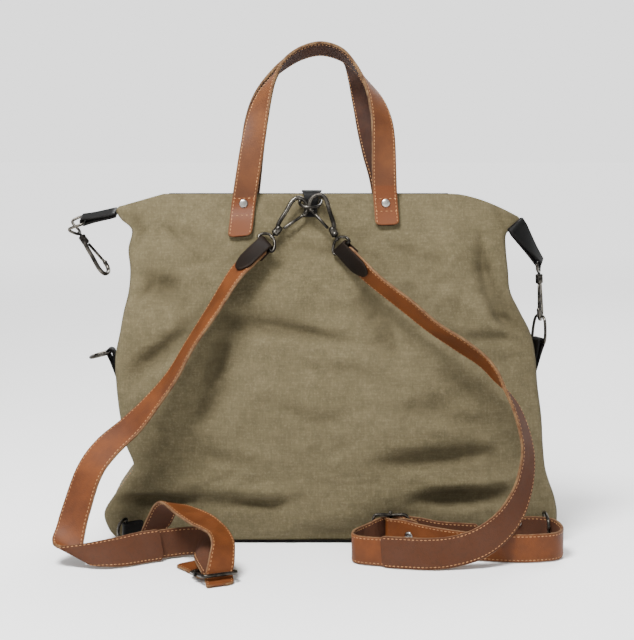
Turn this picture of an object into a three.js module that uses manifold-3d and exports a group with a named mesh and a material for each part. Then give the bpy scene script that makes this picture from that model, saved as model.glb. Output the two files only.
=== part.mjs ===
// Convertible backpack seen from its strap side: canvas bag, leather handles and straps.
// Millimetres, +Z up. X runs along the bag, the strap side faces -Y, the floor is Z = 0.
import * as THREE from 'three';
import Module from 'manifold-3d';

const wasm = await Module();
wasm.setup();

// Main sizes of the bag
const BAG_WIDTH = 450;
const BAG_DEPTH = 130;
const BAG_HEIGHT = 353;
const CANVAS = 2;
const GAP = 0.3;
const BASE_THICK = 2.5;

// Leather pieces
const STRAP_WIDTH = 31;
const END_STRAP_WIDTH = 28;
const STRAP_THICK = 3;
const HANDLE_WIDTH = 25;
const HANDLE_THICK = 3.5;
const TAB_THICK = 2.4;
const TAB_WIDE = 17;
const EAR_TAB_WIDE = 22;
const FOOT_TAB_WIDE = 20;
const TAB_EYE = 25.5;
const STRAP_NARROW = 0.58;
const TIP_SHARE = 0.5;
const BACK_STOPS = 3;
const TAB_BEND = 0.65;

// Metal pieces
const HOOK_LENGTH = 46;
const HOOK_ROD = 4.4;
const GATE_ROD = 3;
const BARREL_RADIUS = 3.9;
const POST_RADIUS = 1.5;
const POST_LENGTH = 8;
const BORE_DEPTH = 6;
const NECK_REACH = 9;
const EYE_WIRE = 3;
const EYE_REACH = 19;
const EYE_SIDE_ROOM = 2;
const LEFT_GRIP = 36.10;
const RIGHT_GRIP = 31.91;
const RING_WIRE = 3;
const BUCKLE_WIRE = 3.6;
const BUCKLE_TALL = 36.2;
const BUCKLE_LONG = 37;
const BUCKLE_BAR = 3;
const BUCKLE_STUB = 4;
const RIVET_DIAMETER = 9;
const RIVET_DOME = 1.6;
const RIVET_LIFT = 3 * GAP;
const TOP_TAB_WIDTH = 15;
const TOP_TAB_THICK = 1.6;

// Share of the top edge that droops at each end
const LEFT_FALL = 0.11;
const RIGHT_FALL = 0.16;

// Mesh steps
const FRONT_STEPS = 18;
const SIDE_STEPS = 5;
const BACK_STEPS = 9;
const BODY_LEVELS = 19;
const WIRE_SIDES = 6;
const THIN_SIDES = 5;
const TURNED_SIDES = 8;
const BARREL_SIDES = 10;
const RING_STEPS = 20;
const EYE_STEPS = 18;
const HOOK_STEPS = 16;
const BUCKLE_STEPS = 24;
const TAB_TURNS = 4;
const LEFT_TAB_STEPS = 5;
const RIGHT_TAB_STEPS = 4;
const STRAP_STEPS = 48;
const END_STEPS = 34;
const BUCKLE_STRAP_STEPS = 44;
const HANDLE_STEPS = 38;
const TOP_TAB_STEPS = 12;

// Canvas levels from the floor up. up is a share of BAG_HEIGHT, left and right of BAG_WIDTH,
// front, back, tuck and puff of BAG_DEPTH. tuck is the inward fold of the gusset.
// puff is the swell of the front panel, fall_l and fall_r the droop of the ends (of BAG_HEIGHT).
const LEVELS = {
  columns: ['up', 'left', 'right', 'front', 'back', 'tuck', 'puff', 'fall_l', 'fall_r'],
  rows: [
    [0.000, -0.485, 0.500, 0.03, 0.98, 0.00, 0.00, 0, 0],
    [0.030, -0.500, 0.511, -0.02, 1.03, 0.00, 0.01, 0, 0],
    [0.080, -0.510, 0.514, -0.03, 1.05, 0.00, 0.03, 0, 0],
    [0.130, -0.488, 0.507, -0.02, 1.03, 0.01, 0.05, 0, 0],
    [0.175, -0.462, 0.495, 0.00, 1.00, 0.02, 0.06, 0, 0],
    [0.215, -0.444, 0.487, 0.02, 0.97, 0.02, 0.08, 0, 0],
    [0.280, -0.462, 0.482, 0.03, 0.93, 0.02, 0.09, 0, 0],
    [0.360, -0.474, 0.478, 0.04, 0.88, 0.02, 0.10, 0, 0],
    [0.450, -0.482, 0.469, 0.06, 0.83, 0.02, 0.10, 0, 0],
    [0.530, -0.484, 0.464, 0.08, 0.78, 0.03, 0.10, 0, 0],
    [0.600, -0.474, 0.453, 0.10, 0.74, 0.07, 0.09, 0, 0],
    [0.660, -0.466, 0.430, 0.13, 0.70, 0.12, 0.08, 0, 0],
    [0.720, -0.455, 0.408, 0.16, 0.67, 0.16, 0.07, 0, 0],
    [0.780, -0.452, 0.404, 0.20, 0.64, 0.18, 0.05, 0, 0],
    [0.840, -0.457, 0.400, 0.24, 0.60, 0.16, 0.04, 0, 0],
    [0.900, -0.450, 0.402, 0.29, 0.56, 0.10, 0.03, 0.005, 0.015],
    [0.945, -0.474, 0.424, 0.33, 0.52, 0.03, 0.02, 0.020, 0.040],
    [0.980, -0.486, 0.434, 0.355, 0.48, 0.00, 0.01, 0.030, 0.056],
    [1.000, -0.480, 0.428, 0.37, 0.45, 0.00, 0.00, 0.036, 0.064],
  ],
};

// Folds pressed into the front panel. Ends in shares of BAG_WIDTH and BAG_HEIGHT,
// deep and wide in shares of BAG_DEPTH.
const FOLDS = {
  columns: ['x0', 'z0', 'x1', 'z1', 'deep', 'wide'],
  rows: [
    [-0.46, 0.13, -0.23, 0.13, 0.055, 0.07],
    [-0.23, 0.13, -0.10, 0.10, 0.040, 0.06],
    [0.21, 0.125, 0.40, 0.125, 0.060, 0.07],
    [0.15, 0.24, 0.35, 0.26, 0.045, 0.12],
    [-0.44, 0.49, -0.30, 0.61, 0.050, 0.09],
    [-0.21, 0.64, -0.02, 0.62, 0.045, 0.10],
    [-0.24, 0.60, -0.28, 0.40, 0.045, 0.12],
    [0.09, 0.66, 0.14, 0.54, 0.050, 0.10],
    [0.33, 0.82, 0.40, 0.62, 0.055, 0.09],
    [-0.38, 0.75, -0.34, 0.72, 0.045, 0.13],
  ],
};

// Strap routes. Centre of each section in shares of BAG_WIDTH, BAG_DEPTH and BAG_HEIGHT,
// turn and tilt give the direction across the strap, wide its width over the strap width.
const ROUTE = ['across', 'forward', 'up', 'turn', 'tilt', 'wide'];
const LEFT_STRAP = {
  columns: ROUTE,
  rows: [
    [-0.150, 0.143, 0.853, 132, 34, STRAP_NARROW],
    [-0.180, 0.066, 0.816, 120, 24, 0.72],
    [-0.212, 0.000, 0.774, 113, 15, 0.92],
    [-0.260, -0.080, 0.677, 111, 7, 1.00],
    [-0.308, -0.135, 0.584, 108, 4, 1.00],
    [-0.348, -0.165, 0.496, 114, 3, 1.00],
    [-0.395, -0.205, 0.420, 124, 6, 1.00],
    [-0.435, -0.254, 0.364, 134, 15, 1.00],
    [-0.488, -0.323, 0.304, 142, 20, 1.00],
    [-0.523, -0.400, 0.242, 148, 13, 1.00],
    [-0.548, -0.477, 0.147, 156, 10, 1.00],
    [-0.559, -0.540, 0.090, 164, 8, 1.00],
    [-0.562, -0.620, 0.0550, 172, 18, 1.06],
    [-0.543, -0.700, 0.0362, 172, 28, 1.20],
    [-0.497, -0.700, 0.0368, 160, 40, 1.05],
    [-0.447, -0.640, 0.0400, 150, 56, 1.00],
    [-0.405, -0.560, 0.0440, 142, 68, 1.00],
    [-0.365, -0.490, 0.0456, 130, 76, 1.00],
  ],
};
const LEFT_END = {
  columns: ROUTE,
  rows: [
    [-0.381, -0.4885, 0.0440, 136, 73, 1.0],
    [-0.350, -0.430, 0.0440, 129, 78, 1.0],
    [-0.316, -0.385, 0.0450, 100, 82, 1.0],
    [-0.290, -0.410, 0.0480, 40, 78, 1.0],
    [-0.278, -0.510, 0.0520, 22, 64, 1.0],
    [-0.269, -0.646, 0.0550, 20, 44, 1.0],
    [-0.260, -0.777, 0.0500, 22, 22, 1.0],
    [-0.251, -0.892, 0.0385, 25, 8, 1.0],
    [-0.2445, -0.970, 0.0318, 25.5, 1, 1.0],
    [-0.2422, -1.0046, 0.0309, 25.5, 0, 1.0],
    [-0.2398, -1.0220, 0.0284, 25.5, 0, 1.0],
    [-0.2388, -1.0290, 0.0215, 25.5, 0, 1.0],
    [-0.2398, -1.0220, 0.0147, 25.5, 0, 1.0],
    [-0.2422, -1.0046, 0.0119, 25.5, 0, 1.0],
    [-0.2500, -0.9460, 0.0062, 25.5, 0, 1.0],
    [-0.2600, -0.8615, 0.0050, 27, 0, 1.0],
    [-0.2822, -0.7380, 0.0050, 34, 0, 1.0],
    [-0.3080, -0.6200, 0.0054, 40, 0, 1.0],
  ],
};
const LEFT_BUCKLE = {
  columns: ROUTE,
  rows: [
    [-0.4270, -0.1780, 0.0300, 0, 18, 0.50],
    [-0.4100, -0.1900, 0.0380, 4, 16, 0.75],
    [-0.3937, -0.2077, 0.0520, 9, 13, 0.95],
    [-0.3779, -0.2385, 0.0891, 26, -8, 1.00],
    [-0.3616, -0.2923, 0.1298, 36, -20, 1.00],
    [-0.3428, -0.3692, 0.1472, 44, -16, 1.00],
    [-0.3146, -0.4769, 0.1381, 58, 1, 1.00],
    [-0.2832, -0.6000, 0.1296, 65, 13, 1.00],
    [-0.2610, -0.6923, 0.1249, 63, 10, 1.00],
    [-0.2375, -0.8154, 0.1137, 54, -3, 1.00],
    [-0.2250, -0.9231, 0.0950, 44, -7, 1.00],
    [-0.2250, -1.0000, 0.0700, 36, -5, 1.00],
    [-0.2270, -1.0500, 0.0455, 29, -1, 1.00],
    [-0.2305, -1.0850, 0.0240, 25.5, 0, 1.00],
    [-0.2295, -1.1101, 0.0125, 25.5, 0, 1.00],
    [-0.2270, -1.1462, 0.0066, 25.5, 0, 1.00],
    [-0.2290, -1.1846, 0.0054, 25.5, 0, 1.00],
  ],
};
const RIGHT_STRAP = {
  columns: ROUTE,
  rows: [
    [0.032, 0.105, 0.843, -46, 34, STRAP_NARROW],
    [0.062, 0.040, 0.806, -56, 28, 0.72],
    [0.100, -0.025, 0.760, -66, 20, 0.92],
    [0.172, -0.095, 0.690, -71, 22, 1.0],
    [0.225, -0.135, 0.635, -71, 19, 1.0],
    [0.288, -0.165, 0.583, -74, 24, 1.0],
    [0.335, -0.180, 0.540, -81, 22, 1.0],
    [0.364, -0.205, 0.499, -91, 25, 1.0],
    [0.385, -0.230, 0.459, -99, 10, 1.0],
    [0.406, -0.260, 0.413, -107, 4, 1.0],
    [0.422, -0.300, 0.355, -114, 6, 1.0],
    [0.430, -0.345, 0.298, -120, 15, 1.0],
    [0.427, -0.390, 0.246, -126, 17, 1.0],
    [0.414, -0.460, 0.190, -134, 20, 1.0],
    [0.387, -0.560, 0.135, -150, 26, 1.0],
    [0.350, -0.650, 0.094, -168, 38, 1.0],
    [0.306, -0.700, 0.064, -190, 50, 1.0],
    [0.255, -0.725, 0.048, -205, 62, 1.0],
    [0.206, -0.745, 0.0445, -222, 76, 1.0],
    [0.145, -0.713, 0.0445, -225, 80, 1.0],
    [0.108, -0.680, 0.0445, -230, 84, 1.0],
  ],
};
const RIGHT_END = {
  columns: ROUTE,
  rows: [
    [0.135, -0.6765, 0.0420, 118, 82, 1.0],
    [0.100, -0.6450, 0.0415, 118, 86, 1.0],
    [0.066, -0.6050, 0.0415, 120, 88, 1.0],
    [0.050, -0.540, 0.0415, 120, 88, 1.0],
    [0.053, -0.420, 0.0415, 120, 88, 1.0],
    [0.070, -0.310, 0.0415, 120, 88, 1.0],
    [0.088, -0.262, 0.0470, 120, 88, 1.0],
    [0.101, -0.228, 0.0525, 120, 88, 1.0],
    [0.1125, -0.170, 0.0525, 120, 88, 1.0],
    [0.128, -0.115, 0.0525, 120, 88, 1.0],
    [0.150, -0.100, 0.0525, 120, 88, 1.0],
    [0.175, -0.100, 0.0510, 120, 88, 1.0],
    [0.205, -0.125, 0.0480, 120, 88, 1.0],
    [0.250, -0.190, 0.0430, 120, 88, 1.0],
    [0.330, -0.245, 0.0415, 120, 88, 1.0],
  ],
};
const RIGHT_BUCKLE = {
  columns: ROUTE,
  rows: [
    [0.390, -0.140, 0.0535, 90, 90, 1.0],
    [0.430, -0.140, 0.0535, 90, 90, 1.0],
    [0.470, -0.150, 0.0535, 90, 90, 1.0],
    [0.497, -0.215, 0.0520, 90, 90, 1.0],
    [0.507, -0.360, 0.0450, 90, 90, 1.0],
    [0.490, -0.490, 0.0415, 90, 90, 1.0],
    [0.443, -0.552, 0.0415, 90, 90, 1.0],
    [0.391, -0.560, 0.0415, 90, 90, 1.0],
    [0.331, -0.515, 0.0415, 90, 90, 1.0],
    [0.269, -0.450, 0.0430, 90, 90, 1.0],
    [0.205, -0.345, 0.0480, 90, 90, 1.0],
    [0.165, -0.252, 0.0525, 90, 90, 1.0],
    [0.148, -0.214, 0.0525, 90, 90, 1.0],
    [0.1351, -0.1960, 0.0525, 90, 90, 1.0],
    [0.1289, -0.1882, 0.0525, 90, 90, 1.0],
    [0.1267, -0.1692, 0.0525, 90, 90, 1.0],
    [0.1289, -0.1502, 0.0525, 90, 90, 1.0],
    [0.1344, -0.1425, 0.0525, 90, 90, 1.0],
    [0.147, -0.155, 0.0525, 90, 90, 1.0],
    [0.160, -0.182, 0.0525, 90, 90, 1.0],
    [0.174, -0.204, 0.0525, 90, 90, 1.0],
    [0.195, -0.252, 0.0500, 90, 90, 1.0],
  ],
};

// Handles, from the left base over the arch to the right base
const NEAR_HANDLE = {
  columns: ROUTE,
  rows: [
    [-0.2030, 0.219, 0.880, 0, 5, 1.0],
    [-0.1990, 0.263, 0.922, 0, 4, 1.0],
    [-0.1950, 0.315, 0.972, 0, 2, 1.0],
    [-0.1870, 0.325, 1.040, 0, 0, 1.0],
    [-0.1755, 0.355, 1.133, -6, -2, 1.0],
    [-0.1645, 0.400, 1.212, -26, -3, 1.0],
    [-0.1490, 0.470, 1.283, -50, 2, 1.0],
    [-0.1270, 0.545, 1.340, -74, 12, 1.0],
    [-0.1000, 0.605, 1.380, -88, 22, 1.0],
    [-0.0620, 0.650, 1.410, -90, 27, 1.0],
    [-0.0180, 0.665, 1.422, -90, 28, 1.0],
    [0.0270, 0.650, 1.405, -92, 27, 1.0],
    [0.0580, 0.605, 1.368, -97, 20, 1.0],
    [0.0840, 0.545, 1.323, -108, 10, 1.0],
    [0.1040, 0.470, 1.275, -128, 4, 1.0],
    [0.1170, 0.400, 1.215, -148, 0, 1.0],
    [0.1215, 0.355, 1.150, -166, -2, 1.0],
    [0.1230, 0.335, 1.068, -180, -2, 1.0],
    [0.1250, 0.325, 1.000, -180, -1, 1.0],
    [0.1280, 0.293, 0.950, -180, -1, 1.0],
    [0.1300, 0.252, 0.912, -180, -2, 1.0],
  ],
};
const FAR_HANDLE = {
  columns: ROUTE,
  rows: [
    [-0.1930, 0.640, 0.880, 0, 0, 1.0],
    [-0.1910, 0.540, 0.966, 0, 0, 1.0],
    [-0.1850, 0.560, 1.040, 0, 0, 1.0],
    [-0.1780, 0.610, 1.130, 6, 0, 1.0],
    [-0.1700, 0.690, 1.215, 20, 0, 1.0],
    [-0.1550, 0.770, 1.290, 45, 0, 1.0],
    [-0.1300, 0.850, 1.352, 72, 0, 1.0],
    [-0.0950, 0.910, 1.396, 90, -10, 1.0],
    [-0.0450, 0.940, 1.420, 90, -14, 1.0],
    [0.0000, 0.935, 1.422, 90, -12, 1.0],
    [0.0370, 0.890, 1.396, 96, -6, 1.0],
    [0.0620, 0.820, 1.336, 125, 0, 1.0],
    [0.0790, 0.740, 1.262, 152, 0, 1.0],
    [0.0910, 0.660, 1.185, 168, 0, 1.0],
    [0.1040, 0.590, 1.110, 176, 0, 1.0],
    [0.1190, 0.550, 1.040, 180, 0, 1.0],
    [0.1280, 0.540, 0.966, 180, 0, 1.0],
    [0.1310, 0.640, 0.880, 180, 0, 1.0],
  ],
};

const TOP_TAB = {
  columns: ROUTE,
  rows: [
    [-0.041, 0.420, 1.0085, 0, 0, 1.35],
    [-0.041, 0.350, 1.0085, 0, 0, 1.35],
    [-0.041, 0.312, 1.000, 0, 0, 1.1],
    [-0.042, 0.296, 0.982, 0, 0, 0.9],
    [-0.043, 0.298, 0.962, 0, 0, 0.9],
    [-0.044, 0.286, 0.935, 0, 0, 0.9],
  ],
};

// Middle line of the hook's rod from the barrel to the nose, in shares of HOOK_LENGTH:
// along the hook and away from the gate side
const HOOK_LINE = {
  columns: ['along', 'away'],
  rows: [
    [0.022, 0.022],
    [0.130, 0.076],
    [0.435, 0.130],
    [0.739, 0.180],
    [0.859, 0.130],
    [0.902, 0.022],
    [0.880, -0.109],
    [0.783, -0.200],
    [0.661, -0.217],
  ],
};
// Ends of the gate, in the same shares
const GATE_LINE = {
  columns: ['along', 'away'],
  rows: [
    [0.121, -0.072],
    [0.639, -0.205],
  ],
};
// Turned profiles: along in shares of HOOK_LENGTH, RIVET_DOME, radius in shares of its own
const BARREL = {
  columns: ['along', 'radius'],
  rows: [
    [-0.109, 0.82],
    [-0.087, 1.00],
    [0.076, 1.00],
    [0.109, 0.67],
  ],
};
const DOME = {
  columns: ['along', 'radius'],
  rows: [
    [0.0, 1.00],
    [0.4, 0.92],
    [0.8, 0.60],
    [1.0, 0.20],
  ],
};
// D-ring wire: across in shares of its width, deep in shares of its depth
const D_LINE = {
  columns: ['across', 'deep'],
  rows: [
    [-0.50, 0.00],
    [-0.40, 0.00],
    [0.40, 0.00],
    [0.50, 0.00],
    [0.50, 0.50],
    [0.34, 0.90],
    [0.00, 1.00],
    [-0.34, 0.90],
    [-0.50, 0.50],
  ],
};
// Buckle frame wire in shares of half its length and half its height
const BUCKLE_LINE = {
  columns: ['along', 'across'],
  rows: [
    [-1.00, -0.88],
    [-1.00, 0.00],
    [-1.00, 0.88],
    [-0.88, 1.00],
    [0.00, 1.00],
    [0.88, 1.00],
    [1.00, 0.88],
    [1.00, 0.00],
    [1.00, -0.88],
    [0.88, -1.00],
    [0.00, -1.00],
    [-0.88, -1.00],
  ],
};
// Eye of a hook: from share 0 at the leather bar to 1 at the barrel, half width share
const EYE_LINE = {
  columns: ['down', 'half'],
  rows: [
    [0.00, -0.60],
    [0.00, 0.60],
    [0.00, 1.00],
    [0.45, 0.95],
    [1.00, 0.35],
    [1.00, -0.35],
    [0.45, -0.95],
    [0.00, -1.00],
  ],
};

const canvas = new THREE.MeshStandardMaterial({ color: 0x8a7e64, roughness: 0.95 });
const tan = new THREE.MeshStandardMaterial({ color: 0x9a6941, roughness: 0.6 });
const brown = new THREE.MeshStandardMaterial({ color: 0x3d3124, roughness: 0.6 });
const black = new THREE.MeshStandardMaterial({ color: 0x14110f, roughness: 0.5 });
const metal = new THREE.MeshStandardMaterial({ color: 0x6e6e6c, roughness: 0.35, metalness: 1 });
const silver = new THREE.MeshStandardMaterial({ color: 0xc9c7c2, roughness: 0.3, metalness: 1 });

const root = new THREE.Group();
root.name = 'convertible_backpack';

const rad = (degrees) => degrees * Math.PI / 180;
const mix = (a, b, t) => a + (b - a) * t;
const vec = (x, y, z) => new THREE.Vector3(x, y, z);
const spot = (across, forward, up) => vec(across * BAG_WIDTH, forward * BAG_DEPTH, up * BAG_HEIGHT);
const ALONG_X = vec(1, 0, 0);
const ALONG_Y = vec(0, 1, 0);
const ALONG_Z = vec(0, 0, 1);
const TO_CAMERA = vec(0, -1, 0);
const BULGE_WAY = vec(-1, 0, 0);

// Adds a mesh with the given name to the object
function add(name, geometry, material) {
  const mesh = new THREE.Mesh(geometry, material);
  mesh.name = name;
  root.add(mesh);
  return mesh;
}

// Rows of a table as objects with named values
function records(table) {
  return table.rows.map((row) => Object.fromEntries(table.columns.map((c, i) => [c, row[i]])));
}

// Smooth value between four neighbours
function smooth(a, b, c, d, t) {
  const m0 = (c - a) / 2;
  const m1 = (d - b) / 2;
  const t2 = t * t;
  const t3 = t2 * t;
  return (2 * t3 - 3 * t2 + 1) * b + (t3 - 2 * t2 + t) * m0 + (3 * t2 - 2 * t3) * c + (t3 - t2) * m1;
}

// Row of named values at the share t of a list of such rows
function rowAt(list, t) {
  const f = t * (list.length - 1);
  const i = Math.min(list.length - 2, Math.floor(f));
  const pick = (k) => list[Math.max(0, Math.min(list.length - 1, k))];
  const out = {};
  for (const key of Object.keys(list[0])) {
    out[key] = smooth(pick(i - 1)[key], pick(i)[key], pick(i + 1)[key], pick(i + 2)[key], f - i);
  }
  return out;
}

// Closed skin over rings of points of equal count. loop joins the last ring to the first.
function skin(rings, loop) {
  const count = rings[0].length;
  const points = rings.flat();
  const faces = [];
  const last = loop ? rings.length : rings.length - 1;
  for (let r = 0; r < last; r += 1) {
    const a = r * count;
    const b = ((r + 1) % rings.length) * count;
    for (let i = 0; i < count; i += 1) {
      const j = (i + 1) % count;
      faces.push([a + i, a + j, b + j], [a + i, b + j, b + i]);
    }
  }
  if (!loop) {
    cap(points, faces, 0, count, true);
    cap(points, faces, (rings.length - 1) * count, count, false);
  }
  return solid(points, faces);
}

// Fan over one ring from its middle
function cap(points, faces, start, count, first) {
  const middle = vec(0, 0, 0);
  for (let i = 0; i < count; i += 1) middle.addScaledVector(points[start + i], 1 / count);
  const m = points.push(middle) - 1;
  for (let i = 0; i < count; i += 1) {
    const j = start + (i + 1) % count;
    faces.push(first ? [m, j, start + i] : [m, start + i, j]);
  }
}

// Geometry of a closed skin, turned outward
function solid(points, faces) {
  let volume = 0;
  for (const [a, b, c] of faces) volume += points[a].dot(points[b].clone().cross(points[c]));
  const index = volume < 0 ? faces.map(([a, b, c]) => [a, c, b]) : faces;
  const geometry = new THREE.BufferGeometry();
  const numbers = points.flatMap((p) => [p.x, p.y, p.z]);
  geometry.setAttribute('position', new THREE.Float32BufferAttribute(numbers, 3));
  geometry.setIndex(index.flat());
  geometry.computeVertexNormals();
  return geometry;
}

// Union or difference of closed geometries
function combine(list, cut = []) {
  const load = (g) => new wasm.Manifold(new wasm.Mesh({
    numProp: 3,
    vertProperties: new Float32Array(g.attributes.position.array),
    triVerts: new Uint32Array(g.index.array),
  }));
  let body = load(list[0]);
  for (const g of list.slice(1)) body = body.add(load(g));
  for (const g of cut) body = body.subtract(load(g));
  const mesh = body.getMesh();
  const points = [];
  for (let i = 0; i < mesh.vertProperties.length; i += mesh.numProp) {
    points.push(vec(mesh.vertProperties[i], mesh.vertProperties[i + 1], mesh.vertProperties[i + 2]));
  }
  const faces = [];
  for (let i = 0; i < mesh.triVerts.length; i += 3) {
    faces.push([mesh.triVerts[i], mesh.triVerts[i + 1], mesh.triVerts[i + 2]]);
  }
  return solid(points, faces);
}

// Centre, across direction and face direction of a route at the share t
function routeFrame(list, t) {
  const centre = (k) => {
    const r = rowAt(list, Math.max(0, Math.min(1, k)));
    return vec(r.across * BAG_WIDTH, r.forward * BAG_DEPTH, r.up * BAG_HEIGHT);
  };
  const r = rowAt(list, t);
  const side = heading(r.turn, r.tilt);
  const along = centre(t + 0.004).sub(centre(t - 0.004)).normalize();
  const face = along.clone().cross(side).normalize();
  return { c: centre(t), side, face, along, wide: r.wide };
}

// Unit direction from a turn about Z and a tilt up from level, in degrees
function heading(turn, tilt) {
  return vec(
    Math.cos(rad(tilt)) * Math.cos(rad(turn)),
    Math.cos(rad(tilt)) * Math.sin(rad(turn)),
    Math.sin(rad(tilt)),
  );
}

// Four corners of a strip section
function section(c, side, face, width, thick) {
  const half = side.clone().multiplyScalar(width / 2);
  const deep = face.clone().multiplyScalar(thick / 2);
  return [
    c.clone().sub(half).sub(deep),
    c.clone().add(half).sub(deep),
    c.clone().add(half).add(deep),
    c.clone().sub(half).add(deep),
  ];
}

// Flat strip through a route
function strip(table, width, thick, steps) {
  const list = records(table);
  const rings = [];
  for (let s = 0; s <= steps; s += 1) {
    const f = routeFrame(list, s / steps);
    rings.push(section(f.c, f.side, f.face, width * f.wide, thick));
  }
  return skin(rings, false);
}

// Round wire through points, open or closed, with corners rounded by a curve
function wire(points, diameter, closed, steps, sides = WIRE_SIDES) {
  const curve = new THREE.CatmullRomCurve3(points, closed, 'centripetal');
  const frames = curve.computeFrenetFrames(steps, closed);
  const rings = [];
  const count = closed ? steps : steps + 1;
  for (let s = 0; s < count; s += 1) {
    const c = curve.getPointAt(s / steps);
    const ring = [];
    for (let i = 0; i < sides; i += 1) {
      const a = i / sides * Math.PI * 2;
      ring.push(c.clone()
        .addScaledVector(frames.normals[s], Math.cos(a) * diameter / 2)
        .addScaledVector(frames.binormals[s], Math.sin(a) * diameter / 2));
    }
    rings.push(ring);
  }
  return skin(rings, closed);
}

// Turned solid on an axis: stations are [distance along, radius]
function turned(from, axis, stations, sides = 12) {
  const z = axis.clone().normalize();
  const x = (Math.abs(z.z) < 0.9 ? ALONG_Z : ALONG_X).clone().cross(z).normalize();
  const y = z.clone().cross(x);
  const rings = stations.map(([d, r]) => {
    const ring = [];
    for (let i = 0; i < sides; i += 1) {
      const a = i / sides * Math.PI * 2;
      ring.push(from.clone().addScaledVector(z, d)
        .addScaledVector(x, r * Math.cos(a)).addScaledVector(y, r * Math.sin(a)));
    }
    return ring;
  });
  return skin(rings, false);
}

// Local frame for metal pieces: at, along and out give its place, its length and its front
function frame(at, along, out) {
  const l = along.clone().normalize();
  const n = out.clone().addScaledVector(l, -out.dot(l)).normalize();
  const w = n.clone().cross(l);
  const point = (pl, pw, pn = 0) => at.clone()
    .addScaledVector(l, pl).addScaledVector(w, pw).addScaledVector(n, pn);
  return { at, l, w, n, point };
}

// Canvas body

const levels = records(LEVELS);
const folds = records(FOLDS);

// Press of the folds at a place on the front panel
function press(x, z) {
  let depth = 0;
  for (const f of folds) {
    const x0 = f.x0 * BAG_WIDTH;
    const z0 = f.z0 * BAG_HEIGHT;
    const dx = f.x1 * BAG_WIDTH - x0;
    const dz = f.z1 * BAG_HEIGHT - z0;
    const t = Math.max(0, Math.min(1, ((x - x0) * dx + (z - z0) * dz) / (dx * dx + dz * dz)));
    const away = Math.hypot(x - x0 - dx * t, z - z0 - dz * t) / (f.wide * BAG_DEPTH);
    depth += f.deep * BAG_DEPTH * Math.exp(-away * away);
  }
  return depth;
}

// Height of the canvas at the share s along the bag for a level
function levelHeight(level, s) {
  const left = Math.max(0, 1 - s / LEFT_FALL);
  const right = Math.max(0, 1 - (1 - s) / RIGHT_FALL) ** 1.6;
  return (level.up - level.fall_l * left - level.fall_r * right) * BAG_HEIGHT;
}

// One level ring of the canvas, skin mm inside the outer face
function levelRing(level, inside, lift) {
  const ends = inside > 0 ? endRoom(level) : 0;
  const left = level.left * BAG_WIDTH + inside + ends;
  const right = level.right * BAG_WIDTH - inside - ends;
  const front = level.front * BAG_DEPTH + inside;
  const back = level.back * BAG_DEPTH - inside;
  const round = Math.min(18, (back - front) * 0.45);
  const ring = [];
  const place = (x, y, s) => ring.push(vec(x, y, levelHeight(level, s) + lift));
  for (let i = 0; i < FRONT_STEPS; i += 1) {
    const s = i / (FRONT_STEPS - 1);
    const x = mix(left + round * 0.12, right - round * 0.12, s);
    const edge = Math.min(s, 1 - s) * (FRONT_STEPS - 1);
    const corner = edge < 1 ? round * 0.3 : 0;
    const z = level.up * BAG_HEIGHT;
    const swell = level.puff * BAG_DEPTH * Math.sin(Math.PI * s) ** 0.8;
    const pressed = press(x, z) * Math.min(1, edge) * Math.min(1, (back - front) / 40);
    place(x, Math.min(front + corner - swell + pressed, mix(front, back, 0.4)), s);
  }
  for (let i = 1; i <= SIDE_STEPS; i += 1) {
    const t = i / (SIDE_STEPS + 1);
    const x = right - level.tuck * BAG_DEPTH * Math.sin(Math.PI * t) ** 2.5;
    place(x, mix(front + round * 0.5, back - round * 0.5, t), 1);
  }
  for (let i = 0; i < BACK_STEPS; i += 1) {
    const s = 1 - i / (BACK_STEPS - 1);
    const x = mix(left + round * 0.12, right - round * 0.12, s);
    const corner = i === 0 || i === BACK_STEPS - 1 ? round * 0.3 : 0;
    place(x, back - corner + level.puff * BAG_DEPTH * Math.sin(Math.PI * s) ** 0.8, s);
  }
  for (let i = SIDE_STEPS; i >= 1; i -= 1) {
    const t = i / (SIDE_STEPS + 1);
    const x = left + level.tuck * BAG_DEPTH * Math.sin(Math.PI * t) ** 2.5;
    place(x, mix(front + round * 0.5, back - round * 0.5, t), 0);
  }
  return ring;
}

// Extra canvas at the folded ends near the top
function endRoom(level) {
  return Math.max(0, level.up - 0.86) / 0.14 * 24;
}

function bagBody() {
  const outer = [];
  const inner = [];
  for (let k = 0; k <= BODY_LEVELS; k += 1) {
    const level = rowAt(levels, k / BODY_LEVELS);
    const lift = BASE_THICK + GAP;
    outer.push(levelRing(level, 0, lift * (1 - level.up)));
    inner.push(levelRing(level, CANVAS, lift * (1 - level.up) + (k === 0 ? CANVAS : 0)));
  }
  return skin([...outer, ...inner.reverse()], false);
}

// Zip closing the slot along the top
function zipBand() {
  const level = levels[levels.length - 1];
  const rings = [];
  const left = level.left * BAG_WIDTH + CANVAS + endRoom(level) + 9;
  const right = level.right * BAG_WIDTH - CANVAS - endRoom(level) - 9;
  const front = level.front * BAG_DEPTH + CANVAS + GAP;
  const back = level.back * BAG_DEPTH - CANVAS - GAP;
  for (let i = 0; i <= FRONT_STEPS; i += 1) {
    const s = i / FRONT_STEPS;
    const x = mix(left, right, s);
    const top = levelHeight(level, s) + 0.4;
    rings.push([vec(x, front, top - 2), vec(x, back, top - 2), vec(x, back, top), vec(x, front, top)]);
  }
  return skin(rings, false);
}

// Dark leather base under the canvas
function basePanel() {
  const level = levels[0];
  const ring = (z, grow) => levelRing(level, -grow, 0).map((p) => vec(p.x, p.y, z));
  return skin([ring(0, 0), ring(BASE_THICK * 0.5, 1.5), ring(BASE_THICK, 1.5)], false);
}

add('bag_body', bagBody(), canvas);
add('base_panel', basePanel(), black);
add('zip', zipBand(), black);

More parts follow.
